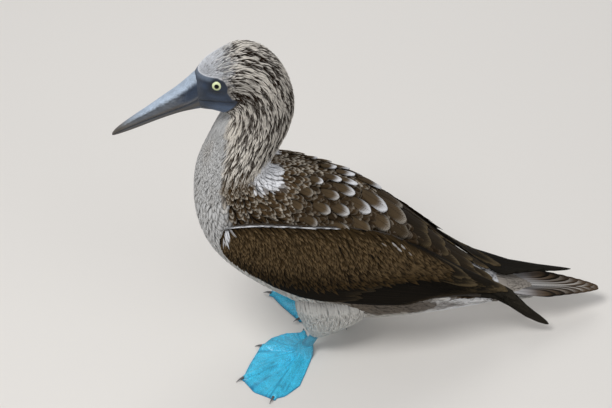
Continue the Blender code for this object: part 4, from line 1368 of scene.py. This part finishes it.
class BOOBY_OT_shoulders(bpy.types.Operator):
    """Lay the large brown, white tipped feathers over each shoulder"""
    bl_idname = "booby.shoulders"
    bl_label = "Shoulder feathers"

    def execute(self, context):
        chance = np.random.default_rng(plumage().seed + 2)
        coat = Coat("shoulder_feathers")
        rows = np.array(SHOULDER)
        rows = rows[np.argsort(-rows[:, 0])]
        for side in SIDES.values():
            count = len(rows)
            u = rows[:, 0] + chance.normal(0, 0.06, count) * (side < 0)
            angle = np.radians(rows[:, 1])
            angle = angle if side > 0 else math.pi - angle
            back = math.pi + chance.normal(0, 0.07, count) - side * 0.05
            root = BODY_SHEET.beyond(u, angle, back, rows[:, 2])
            luck = chance.uniform(0, 1, count)
            tone = paint("shoulder") * column(0.75 + 0.4 * luck)
            tone = mix(tone, paint("flight"), column(ramp(rows[:, 0], 20.6, 22.3) * 0.8))
            pale = mix(paint("mantle_tip") * 0.7, paint("patch") * 0.95, column(ramp(rows[:, 4], 0.1, 0.22)))
            pale = mix(pale, paint("flight_edge") * 2.0, column(ramp(rows[:, 4], 0.08, 0.03)))
            layer = ramp(rows[:, 0], 23, 16.5) * 1.6
            trim = np.where(rows[:, 4] < 0.05, 0.88, 1.04 - 1.5 * rows[:, 4])
            slim = mix(0.8, 1.0, ramp(rows[:, 0], 19.5, 21)) * chance.uniform(0.88, 1.12, count)
            coat.add(BODY_SHEET, root, (u, angle), rows[:, 3] * slim, (0.8 + layer, 3.4 + layer),
                     (tone * 0.62, tone, pale), trim, luck, STIFF, LONG_TIP, 0.45, 1.4, 1.6,
                     tilt=chance.uniform(-0.5, 0.5, count),
                     place=(u / TORSO_END, turn_share(angle)))
        coat.build(bpy.data.materials["shoulder vanes"])
        return {"FINISHED"}


# A few paler coverts near the wing's upper edge: place (s, v) and how pale
PALE_COVERTS = np.array([
    (4.92, 0.09, 0.9), (5.02, 0.13, 1.0), (5.12, 0.08, 0.8), (4.72, 0.12, 0.3), (5.3, 0.14, 0.3),
])


class BOOBY_OT_wings(bpy.types.Operator):
    """Build each folded wing: its core, flight feathers and coverts"""
    bl_idname = "booby.wings"
    bl_label = "Wings"

    def execute(self, context):
        for name, sheet in WINGS.items():
            chance = np.random.default_rng(plumage().seed + 10)
            self.core(name, sheet)
            self.flight(name, sheet, chance)
            self.coverts(name, sheet, chance)
        return {"FINISHED"}

    def core(self, name, sheet):
        """The wing's arm under its feathers."""
        s, v = np.meshgrid(np.linspace(0, 7.6, 60), np.linspace(0, 1, 24), indexing="ij")
        outer, normal = sheet.at(s, v)
        share = column(s / 7.6)
        rim = column(np.sin(math.pi * v) ** 0.4)
        top = outer - normal * (1.2 + 0.8 * (1 - rim))
        low = outer - normal * (1.2 + 7.8 * (1 - 0.8 * share ** 2) * (0.35 + 0.65 * rim))
        points = np.concatenate([top, low[:, ::-1]], 1)
        joined, faces = closed_tube(points)
        # The core is the wing's brown at half brightness: painted shade under the feathers
        tone = np.broadcast_to(paint("wing") * 0.5, joined.shape)
        home = np.stack([s / WING_END, v], -1)
        home = np.concatenate([home, home[:, ::-1]], 1)
        home = np.concatenate([home[:1], home, home[-1:]]).reshape(-1, 2)
        obj = quad_object(name + "_wing_core", joined, facing_out(joined, faces), {"tone": tone}, home)
        settle(obj, bpy.data.materials["bare face"], (name + "_wing",))

    def tier(self, coat, sheet, chance, count, root, tip, half, rise, tone, pale, trim, tilt, vary=0.12):
        """One tier of stiff feathers; root and tip are pairs for the first and last."""
        t = np.linspace(0, 1, count)
        luck = chance.uniform(0, 1, count)
        shift = chance.uniform(-vary, vary, count)
        roots = tuple(mix(root[0][k], root[1][k], t) for k in (0, 1))
        tips = tuple(mix(tip[0][k], tip[1][k], t) for k in (0, 1))
        tips = (np.minimum(tips[0] + shift, WING_END), tips[1])
        wide = mix(half[0], half[1], t) * chance.uniform(0.94, 1.06, count)
        low = mix(rise[0][0], rise[0][1], t)
        high = mix(rise[1][0], rise[1][1], t) + chance.uniform(-0.12, 0.12, count)
        shade = column(0.8 + 0.4 * chance.uniform(0, 1, count))
        colours = (tone * shade * 0.7, tone * shade, pale * shade)
        coat.add(sheet, roots, tips, wide, (low, high), colours, trim, luck,
                 STIFF, LONG_TIP, 0.5, 0.8, 1.2, tilt,
                 place=(roots[0] / WING_END, np.clip(roots[1], 0, 1)))

    def flight(self, name, sheet, chance):
        coat = Coat(name + "_flight_feathers")
        flight = paint("flight")
        edge = paint("flight_edge")
        # The primaries' one colour is painted lighter on the near, left wing and darker on the far, right
        # wing: painted light and painted shade
        primary = paint("primary") * (1.5 if name == "left" else 0.75)
        self.tier(coat, sheet, chance, 8, ((5.9, 0.1), (6.4, 0.85)), ((9.2, 0.2), (10.95, 0.5)),
                  (6.5, 5.0), ((-1.5, -2.4), (0.2, -0.4)), primary, primary * 1.6, 0.93, 0.6)
        self.tier(coat, sheet, chance, 17, ((3.6, 0.28), (3.2, 0.955)), ((8.3, 0.5), (5.6, 0.985)),
                  (7.5, 5.5), ((-1.2, -1.6), (1.0, 0.4)), flight * 0.7, edge * 0.4, 0.95, 0.7)
        inner = 0.1 if name == "left" else 0.32
        self.tier(coat, sheet, chance, 7, ((3.6, 0.08), (3.6, 0.30)), ((8.8, inner), (8.2, 0.48)),
                  (7.5, 8.0), ((-0.5, -0.5), (1.2, 1.0)), flight * 1.1, edge, 0.9, 0.9)
        self.tier(coat, sheet, chance, 5, ((4.2, 0.1), (4.1, 0.22)), ((7.2, inner + 0.04), (7.3, 0.36)),
                  (7.5, 7.5), ((0.2, 0.2), (1.7, 1.5)), flight * 1.5, edge * 1.2, 0.9, 0.9)
        self.tier(coat, sheet, chance, 24, ((2.4, 0.14), (1.5, 0.965)), ((6.3, 0.28), (4.1, 0.98)),
                  (5.5, 4.5), ((-0.8, -1.2), (1.7, 0.9)), flight * 0.75, edge * 0.5, 0.95, 0.6, vary=0.25)
        coat.build(bpy.data.materials["flight feathers"])

    def coverts(self, name, sheet, chance):
        coat = Coat(name + "_coverts")
        covert = length("covert")
        s, v = sheet.rows((0.05, 6.0), (0.012, 0.985), sized_by((0, 6), (1.8, 2.6)),
                          sized_by((0, 6), (2.2, 3.2)), chance, 0.4)
        luck = chance.uniform(0, 1, len(s))
        limit = np.interp(s, [0, 1.5, 3, 4.8, 6.0], [1.0, 0.93, 0.74, 0.56, 0.3])
        keep = v < limit + 0.06 * (luck - 0.5)
        s, v, luck, limit = s[keep], v[keep], luck[keep], limit[keep]
        number = len(s)
        points, _ = sheet.at(s, v)
        lumps = noise(points * (1, 1, 0.3), 3.0, 6)
        broad = noise(points, 16.0, 7)
        back = ramp(s + 2.2 * np.maximum(v - limit + 0.35, 0) / 0.35, 4.4, 6.8)
        size = covert * np.interp(s, [0, 2, 6], [0.62, 0.9, 1.3]) * (1 + 0.6 * back)
        size = size * chance.uniform(0.85, 1.15, number)
        turn = np.interp(s, [0, 1, 4, 6.3], [1.0, 1.35, 1.3, 0.6]) * (1 - 0.75 * back)
        turn = turn * np.interp(v, [0, 0.06, 0.25, 1], [0.4, 0.8, 1, 0.85])
        tip = sheet.beyond(s, v, turn + chance.normal(0, 0.14, number), size)
        tip = (tip[0], np.clip(tip[1], 0.0, 1.0))
        lower = ramp(v / limit, 0.5, 0.95)
        tone = mix(paint("wing"), paint("flight"), column(np.maximum(lower, back * 0.6)))
        tone = tone * column((0.65 + 0.5 * lumps) * (0.8 + 0.4 * broad))
        pale = mix(paint("wing_streak"), paint("wing"), column(np.maximum(lower, back * 0.5)))
        pale = pale * column(0.5 + 0.75 * luck)
        wrist = column(ramp(np.hypot((s - 0.42) / 0.30, (v - 0.16) / 0.26), 1.1, 0.7))
        tone = mix(tone, paint("patch"), wrist * 0.9)
        pale = mix(pale, paint("patch"), wrist)
        half = np.interp(s, [0, 6], [1.25, 2.1]) * (1 + 0.5 * back) * chance.uniform(0.85, 1.15, number)
        high = 1.7 + 0.5 * luck + 0.5 * ramp(s, 3.4, 4.6)
        coat.add(sheet, (s, v), tip, half, (-1.2, high), (tone * 0.85, tone, pale), 0.72, luck, LEAF,
                 POINT_TIP, 0.25, 0.25, 0.8, place=(s / WING_END, v))
        self.rim(coat, sheet, chance)
        coat.build(bpy.data.materials["mottled feathers"])

    def rim(self, coat, sheet, chance):
        """Slim white feathers along the folded wing's upper edge, and a few pale coverts."""
        count = 64
        s = np.linspace(0.35, 3.75, count)
        luck = chance.uniform(0, 1, count)
        v = 0.012 + 0.01 * luck
        tip = sheet.beyond(s, v, chance.normal(0, 0.02, count), np.full(count, 8.0))
        white = paint("patch") * column(np.where(luck > 0.45, 0.9, 0.35))
        coat.add(sheet, (s, v), tip, np.full(count, 0.75), (0.8, 2.2 + 0.3 * luck),
                 (white * 0.7, white, white), NO_TRIM, luck, LEAF,
                 POINT_TIP, 0.35, 0.0, 0.5, place=(s / WING_END, v))
        s, v, luck = PALE_COVERTS[:, 0], PALE_COVERTS[:, 1], PALE_COVERTS[:, 2]
        tip = sheet.beyond(s, v, 0.5 + 0 * s, 6 + 3 * luck)
        tone = mix(paint("wing_streak"), paint("patch"), column(0.1 + 0.35 * luck))
        coat.add(sheet, (s, v), tip, 0.8 + 0.3 * luck, (1.0, 2.9), (tone * 0.8, tone, tone),
                 NO_TRIM, luck, LEAF, ROUND_TIP, 0.35, 0.2, 0.5, place=(s / WING_END, v))


def tail_place(s, v):
    """The tail's surface: s runs from root to tip, v from the left side to the right."""
    y, z = np.moveaxis(smooth(TAIL_LINE, s), -1, 0)
    return np.stack([-v * TAIL_SPREAD, y, z], -1)


class BOOBY_OT_tail(bpy.types.Operator):
    """Build the closed tail: graduated feathers, pale in the middle"""
    bl_idname = "booby.tail"
    bl_label = "Tail"

    def execute(self, context):
        chance = np.random.default_rng(plumage().seed + 4)
        sheet = Sheet(tail_place, (0, 5), (-1.5, 1.5), 101, 31)
        angle = np.linspace(0, 2 * math.pi, 32, endpoint=False)
        y, z, half, thick = np.moveaxis(smooth(TAIL_ROOT, np.linspace(0, 3, 24)), -1, 0)
        points = np.stack([
            column(half - 1) * np.cos(angle), column(y) + 0 * angle,
            column(z) + column(thick - 1) * np.sin(angle),
        ], -1)
        joined, faces = closed_tube(points)
        home = joined[:, :2] / 600 + 0.5
        # The tail's root is the belly white at 0.7: painted shade under the tail's feathers
        root = quad_object("tail_root", joined, facing_out(joined, faces),
                           {"tone": np.broadcast_to(paint("belly") * 0.7, joined.shape)}, home)
        settle(root, bpy.data.materials["bare face"], ("tail",))
        coat = Coat("tail_feathers")
        count = 14
        v = np.linspace(-1, 1, count)
        order = np.argsort(-np.abs(v), kind="stable")
        v = v[order]
        reach = TOTAL_LENGTH / 2 - TAIL_STEP * np.maximum(0, np.abs(v) - 1 / (count - 1)) ** 1.3
        s_tip = np.interp(reach, smooth(TAIL_LINE, np.linspace(0, 5, 200))[:, 0], np.linspace(0, 5, 200))
        luck = chance.uniform(0, 1, count)
        sink = -4.2 * np.abs(v)
        outer = ramp(np.abs(v), 0.35, 0.9)
        tone = mix(paint("tail_pale"), paint("tail_brown"), column(outer)) * column(0.9 + 0.2 * luck)
        pale = mix(paint("tail_brown"), paint("flight"), column(outer))
        coat.add(sheet, (np.full(count, 0.6), v * 0.8), (s_tip, v), np.full(count, 6.4), (sink, sink + 0.2),
                 (mix(tone, paint("patch"), 0.45), tone, pale), 0.86, luck, STIFF, LONG_TIP, 0.8, 0.5,
                 tilt=-0.5 * np.sign(v))
        coat.build(bpy.data.materials["flight feathers"])
        coat = Coat("tail_coverts")
        tube = Sheet(lambda s, a: np.stack([
            smooth(TAIL_ROOT, s)[..., 2] * np.cos(a), smooth(TAIL_ROOT, s)[..., 0],
            smooth(TAIL_ROOT, s)[..., 1] + smooth(TAIL_ROOT, s)[..., 3] * np.sin(a),
        ], -1), (0, 3), ROUND_AND_MORE, 61, 120, facing=-1)
        s, a = tube.rows((0.1, 2.0), ALL_ROUND, 3.2, 2.8, chance)
        number = len(s)
        tip = tube.beyond(s, a, chance.normal(0, 0.08, number), np.interp(s, [0, 2], [17, 22]))
        tip = (np.minimum(tip[0], 3.0), tip[1])
        top = column(ramp(over_back(a), 5, 40))
        white = paint("belly") * column(0.9 + 0.1 * chance.uniform(0, 1, number))
        tone = mix(white, mix(paint("tail_pale"), paint("tail_brown"), 0.35), top)
        coat.add(tube, (s, a), tip, np.full(number, 2.6), (-1.2, 0.5),
                 (tone * 0.85, tone, tone), NO_TRIM, chance.uniform(0, 1, number), LEAF, ROUND_TIP, 0.25, 0.3,
                 place=(s / 3, turn_share(a)))
        coat.build(bpy.data.materials["soft feathers"])
        return {"FINISHED"}


class BOOBY_OT_thighs(bpy.types.Operator):
    """Lay the white feathers that narrow down to each shank"""
    bl_idname = "booby.thighs"
    bl_label = "Thigh feathers"

    def execute(self, context):
        chance = np.random.default_rng(plumage().seed + 5)
        coat = Coat("thigh_feathers")
        for side in SIDES.values():
            sheet = Sheet(thigh_place(side), (0, 5), ROUND_AND_MORE, 101, 120, facing=-1)
            s, v = sheet.rows((0.05, 4.5), ALL_ROUND, 2.4, 2.2, chance)
            number = len(s)
            luck = chance.uniform(0, 1, number)
            size = np.interp(s, [0, 5], [15, 9]) * (0.85 + 0.3 * luck)
            tip = sheet.beyond(s, v, chance.normal(0, 0.14, number), size)
            tip = (np.minimum(tip[0], 5.0), tip[1])
            white = paint("belly") * column(0.88 + 0.14 * luck)
            coat.add(sheet, (s, v), tip, np.interp(s, [0, 5], [1.9, 1.4]), (-2.2, 0.1 + 0.5 * luck),
                     (white * 0.85, white, white), NO_TRIM, luck, LEAF, POINT_TIP, 0.3, 0.1, 0.8,
                     place=(0.03 + 0.02 * s, turn_share(v)))
        coat.build(bpy.data.materials["soft feathers"])
        return {"FINISHED"}


def foot_reach(angle):
    """How far the foot's outline lies from the ankle in a direction."""
    reach = 0.0
    for (low_angle, low), (high_angle, high) in zip(FOOT_OUTLINE, FOOT_OUTLINE[1:]):
        if low_angle <= angle <= high_angle:
            a = math.radians(angle - low_angle)
            b = math.radians(high_angle - angle)
            reach = low * high * math.sin(a + b) / (low * math.sin(a) + high * math.sin(b))
    for toe_angle, toe, half in TOES:
        turn = math.radians(abs(angle - toe_angle))
        if turn < math.radians(60):
            reach = max(reach, min(toe / math.cos(turn), half * 0.7 / max(math.sin(turn), 0.0001)))
    return reach


class BOOBY_OT_feet(bpy.types.Operator):
    """Build the webbed feet with ridged toes, and the scaled shanks"""
    bl_idname = "booby.feet"
    bl_label = "Feet"

    def execute(self, context):
        for name, side in SIDES.items():
            self.foot(name, side)
            self.shank(name, side)
        return {"FINISHED"}

    def foot(self, name, side):
        base = foot_base(side)
        angles = np.unique(np.concatenate(
            [np.linspace(-180, 178, 180)] + [t[0] + np.linspace(-6, 6, 25) for t in TOES]))
        angles = angles[(angles >= -180) & (angles < 180)]
        if len(angles) % 2:
            angles = angles[:-1]
        reach = np.array([foot_reach(a) for a in angles])
        steps = np.concatenate([np.linspace(0, 0.94, 44), [0.965, 0.985, 0.996, 1.0]])
        away = ANKLE_RADIUS * 0.5 + column(reach - ANKLE_RADIUS * 0.5) * steps
        grid = np.broadcast_to(column(angles), away.shape)
        top, ridge, scute = self.height(grid, away)
        rim = ramp(steps, 1.0, 0.93)
        edge = 0.8 + (top - 0.8) * (0.25 + 0.75 * rim)
        a = np.radians(grid)
        x = base[0] + side * away * np.sin(a)
        y = base[1] - away * np.cos(a)
        upper = np.stack([x, y, edge], -1)
        bottom = upper[:, -1:] * (1, 1, 0)
        middle = np.array([base[0], base[1], 0.0])
        under = mix(bottom, middle, 0.6) * (1, 1, 0)
        points = np.concatenate([upper, bottom, under], 1).swapaxes(0, 1)
        joined, faces = closed_tube(points)
        group = bare()
        lumps = noise(upper, 7.0, 12)
        veins = noise(np.stack([grid * 0.6, away * 0.06, 0 * away], -1), 1.0, 14)
        # The web's outermost, downturned rim is painted deeper blue: painted shade on the edge; the veins are
        # the skin's own darker lines
        deep = 0.08 + 0.5 * ramp(veins, 0.5, 0.8) - 0.25 * ridge + 0.5 * ramp(steps, 0.95, 1.0)
        tone = mix(paint("foot", group), paint("foot_deep", group), column(np.clip(deep, 0, 1)))
        tone = tone * column((1.0 + 0.3 * lumps) * (1 - 0.35 * scute))
        near = ramp(away, 16, 8)
        tone = mix(tone, mix(paint("foot", group), paint("bill_grey", group), 0.45), column(near * 0.6))
        sole = np.broadcast_to(paint("foot_deep", group), bottom.shape)
        tone = np.concatenate([tone, sole, sole], 1).swapaxes(0, 1)
        tone = np.concatenate([tone[:1], tone, tone[-1:]]).reshape(-1, 3)
        lowest = 0.5 * (joined[:, 2] < 0.01)
        home = np.stack([joined[:, 0] / 250 + 0.5, joined[:, 1] / 250 + 0.6 + lowest], -1)
        obj = quad_object(name + "_web", joined, facing_out(joined, faces), {"tone": tone}, np.mod(home, 1.0))
        settle(obj, bpy.data.materials["foot skin"], (name + "_foot",))

    def height(self, angle, away):
        """Height of the foot's upper face, how much of it is toe, and its seams."""
        total = np.full(angle.shape, 2.0)
        ridge_share = np.zeros(angle.shape)
        scute = np.zeros(angle.shape)
        for toe_angle, toe, half in TOES:
            turn = np.radians(angle - toe_angle)
            turn = np.arctan2(np.sin(turn), np.cos(turn))
            along = away * np.cos(turn)
            beside = away * np.sin(turn) / half
            t = np.clip(along / toe, 0, 1)
            on = (np.abs(turn) < math.pi / 2) & (along < toe + 1)
            knuckle = 0.55 * np.cos(t * 6 * math.pi)
            ridge = (mix(6.0, 3.0, t) + knuckle) * np.exp(-beside * beside * 1.3) * on
            step = np.abs(np.mod(along / 1.55, 1) - 0.5) * 2
            line = ramp(step, 0.75, 1.0) * np.exp(-beside * beside * 1.1) * on
            fold = 0.25 * np.cos(along * 1.1 + 2 * np.sin(beside)) * on
            fold = fold * np.exp(-(np.abs(beside) - 2.2) ** 2)
            total = np.maximum(total, 2.0 + ridge - 0.22 * line) + fold * ramp(away, 12, 25) * ramp(t, 1, 0.8)
            ridge_share = np.maximum(ridge_share, np.exp(-beside * beside) * on)
            scute = np.maximum(scute, line * ramp(away, 8, 14))
        web = 0.35 * np.sin(np.radians(angle) * 34 + away * 0.05) * ramp(away, 15, 35)
        total = total + web * (1 - ridge_share)
        ankle = np.minimum(ANKLE_TOP, 22 * np.exp(-(away / 9.5) ** 2))
        ring = 0.25 * np.cos(away * 3.2) * ramp(away, 5, 9) * ramp(away, 20, 14)
        return np.maximum(total, ankle) + ring, ridge_share, scute

    def shank(self, name, side):
        base = foot_base(side)
        height = np.linspace(5, 34, 60)
        angle = np.linspace(0, 2 * math.pi, 48, endpoint=False)
        t = (height - ANKLE_TOP) / HEEL_RISE
        radius = np.interp(height, [5, 12, 20, 27, 34], [6.0, 6.3, 5.2, 5.0, 5.0])
        scale = 0.12 * np.abs(np.sin(column(height) * 1.6 + np.round(np.cos(angle) * 2) * 0.7))
        points = np.stack([
            base[0] + (column(radius * 0.86) + scale) * np.cos(angle),
            base[1] + column(3 + HEEL_BACK * t) + (column(radius) + scale) * np.sin(angle),
            column(height) + 0 * angle,
        ], -1)
        joined, faces = closed_tube(points)
        group = bare()
        tone = mix(paint("foot", group), paint("bill_grey", group), 0.5)
        tone = tone * column(0.8 + 0.35 * noise(joined, 4.0, 15))
        obj = quad_object(name + "_scaled_shank", joined, facing_out(joined, faces), {"tone": tone})
        settle(obj, bpy.data.materials["foot skin"], (name + "_shank",))


class BOOBY_OT_claws(bpy.types.Operator):
    """Build the small curved claws at the ends of the toes"""
    bl_idname = "booby.claws"
    bl_label = "Claws"

    def execute(self, context):
        material, tree, shader = new_material("claw horn")
        grain = tree.nodes.new("ShaderNodeTexNoise")
        grain.inputs["Scale"].default_value = 900
        place = tree.nodes.new("ShaderNodeTexCoord")
        wire(tree, place.outputs["Object"], grain.inputs["Vector"])
        dark = paint("claw", bare())
        horn = mix_colour(tree, grain.outputs["Fac"], (*dark * 0.6, 1), (*dark * 1.5, 1))
        wire(tree, horn, shader.inputs["Base Color"])
        shader.inputs["Roughness"].default_value = 0.35
        add_bump(tree, shader, grain.outputs["Fac"], 0.0001)
        for name, side in SIDES.items():
            for number, (angle, reach, _) in enumerate(TOES):
                self.claw(f"{name}_claw_{number + 1}", side, angle, reach, number, material)
        return {"FINISHED"}

    def claw(self, name, side, angle, reach, number, material):
        a = math.radians(angle)
        ahead = np.array([side * math.sin(a), -math.cos(a), 0])
        across = np.array([ahead[1], -ahead[0], 0])
        size = 7.4 if number < 2 else 6.0
        t = np.linspace(0, 1, 24)
        start = foot_base(side) + ahead * (reach - 1.5)
        height = 2.9 + 0.5 * np.sin(t * math.pi) - 1.9 * t * t
        radius = mix(2.0, 0.25, t ** 0.8)
        turn = np.linspace(0, 2 * math.pi, 16, endpoint=False)
        middle = start + ahead * column((size + 1.5) * t) + column(height) * (0, 0, 1)
        points = middle[:, None] + across * column(column(radius * 0.75) * np.cos(turn))
        points = points + np.array([0, 0, 1]) * column(column(radius) * np.sin(turn))
        points[..., 2] = np.maximum(points[..., 2], 0.15)
        joined, faces = closed_tube(points)
        obj = quad_object(name + "_horn", joined, facing_out(joined, faces), {})
        settle(obj, material, (name,))


# The camera's place and the floor's half width, in metres
CAMERA_PLACE = (1.7486, -0.3079, 1.6573)
FLOOR_REACH = 30.0


class BOOBY_OT_stage(bpy.types.Operator):
    """Set up the plain pale floor, soft lights and the camera"""
    bl_idname = "booby.stage"
    bl_label = "Stage"

    def execute(self, context):
        stage = context.scene.booby_stage
        material, _, shader = new_material("pale floor")
        shader.inputs["Base Color"].default_value = (*stage.floor, 1)
        shader.inputs["Roughness"].default_value = 0.9
        mesh = bpy.data.meshes.new("floor")
        corners = [(-FLOOR_REACH, -FLOOR_REACH, 0), (FLOOR_REACH, -FLOOR_REACH, 0),
                   (FLOOR_REACH, FLOOR_REACH, 0), (-FLOOR_REACH, FLOOR_REACH, 0)]
        mesh.from_pydata(corners, [], [(0, 1, 2, 3)])
        mesh.materials.append(material)
        floor = bpy.data.objects.new("floor", mesh)
        context.scene.collection.objects.link(floor)
        self.light("key", (0.7, -0.9, 2.1), 1.0, stage.key_power)
        self.light("fill", (1.6, 1.3, 1.4), 1.6, stage.key_power * 0.22)
        self.light("far", (-1.5, 0.4, 1.6), 1.4, stage.key_power * 0.32)
        world = bpy.data.worlds.new("studio")
        world.use_nodes = True
        world.node_tree.nodes["Background"].inputs["Color"].default_value = (0.93, 0.95, 1.0, 1)
        world.node_tree.nodes["Background"].inputs["Strength"].default_value = 0.38
        context.scene.world = world
        context.scene.view_settings.view_transform = "Standard"
        self.camera(context, stage)
        return {"FINISHED"}

    def light(self, name, place, size, watts):
        data = bpy.data.lights.new(name, "AREA")
        data.shape = "DISK"
        data.size = size
        data.energy = watts
        lamp = bpy.data.objects.new(name, data)
        lamp.location = place
        lamp.rotation_mode = "QUATERNION"
        lamp.rotation_quaternion = (Vector(place) - Vector((0, 0, 0.15))).to_track_quat("Z", "Y")
        bpy.context.scene.collection.objects.link(lamp)

    def camera(self, context, stage):
        """A camera whose place and angles were fitted to the bird in the photo."""
        data = bpy.data.cameras.new("camera")
        data.lens = stage.lens
        data.sensor_width = 36
        data.clip_start = 0.05
        data.clip_end = 100
        camera = bpy.data.objects.new("camera", data)
        back = Vector((
            math.sin(stage.azimuth) * math.cos(stage.elevation),
            -math.cos(stage.azimuth) * math.cos(stage.elevation),
            math.sin(stage.elevation),
        ))
        camera.location = CAMERA_PLACE
        camera.rotation_mode = "QUATERNION"
        camera.rotation_quaternion = back.to_track_quat("Z", "Y")
        context.scene.collection.objects.link(camera)
        context.scene.camera = camera


class BOOBY_PT_panel(bpy.types.Panel):
    """Steps and settings of the bird"""
    bl_idname = "BOOBY_PT_panel"
    bl_label = "Blue footed booby"
    bl_space_type = "VIEW_3D"
    bl_region_type = "UI"
    bl_category = "Booby"

    def draw(self, context):
        for operator in OPERATORS:
            self.layout.operator(operator.bl_idname)
        for group in (context.scene.booby_plumage, context.scene.booby_bare, context.scene.booby_stage):
            box = self.layout.box()
            for name in group.__annotations__:
                box.prop(group, name)


GROUPS = (PlumageSettings, BareSettings, StageSettings)
OPERATORS = (
    BOOBY_OT_materials, BOOBY_OT_skin, BOOBY_OT_bill, BOOBY_OT_eyes, BOOBY_OT_head_coat,
    BOOBY_OT_body_coat, BOOBY_OT_shoulders, BOOBY_OT_wings, BOOBY_OT_tail, BOOBY_OT_thighs,
    BOOBY_OT_feet, BOOBY_OT_claws, BOOBY_OT_stage,
)


def register():
    for item in GROUPS + OPERATORS + (BOOBY_PT_panel,):
        bpy.utils.register_class(item)
    bpy.types.Scene.booby_plumage = bpy.props.PointerProperty(type=PlumageSettings)
    bpy.types.Scene.booby_bare = bpy.props.PointerProperty(type=BareSettings)
    bpy.types.Scene.booby_stage = bpy.props.PointerProperty(type=StageSettings)


def unregister():
    del bpy.types.Scene.booby_plumage
    del bpy.types.Scene.booby_bare
    del bpy.types.Scene.booby_stage
    for item in reversed(GROUPS + OPERATORS + (BOOBY_PT_panel,)):
        bpy.utils.unregister_class(item)


def main():
    register()
    for operator in OPERATORS:
        step = getattr(bpy.ops.booby, operator.bl_idname.split(".")[1])
        if step() != {"FINISHED"}:
            raise RuntimeError(operator.bl_label + " didn't finish")


if __name__ == "__main__":
    main()
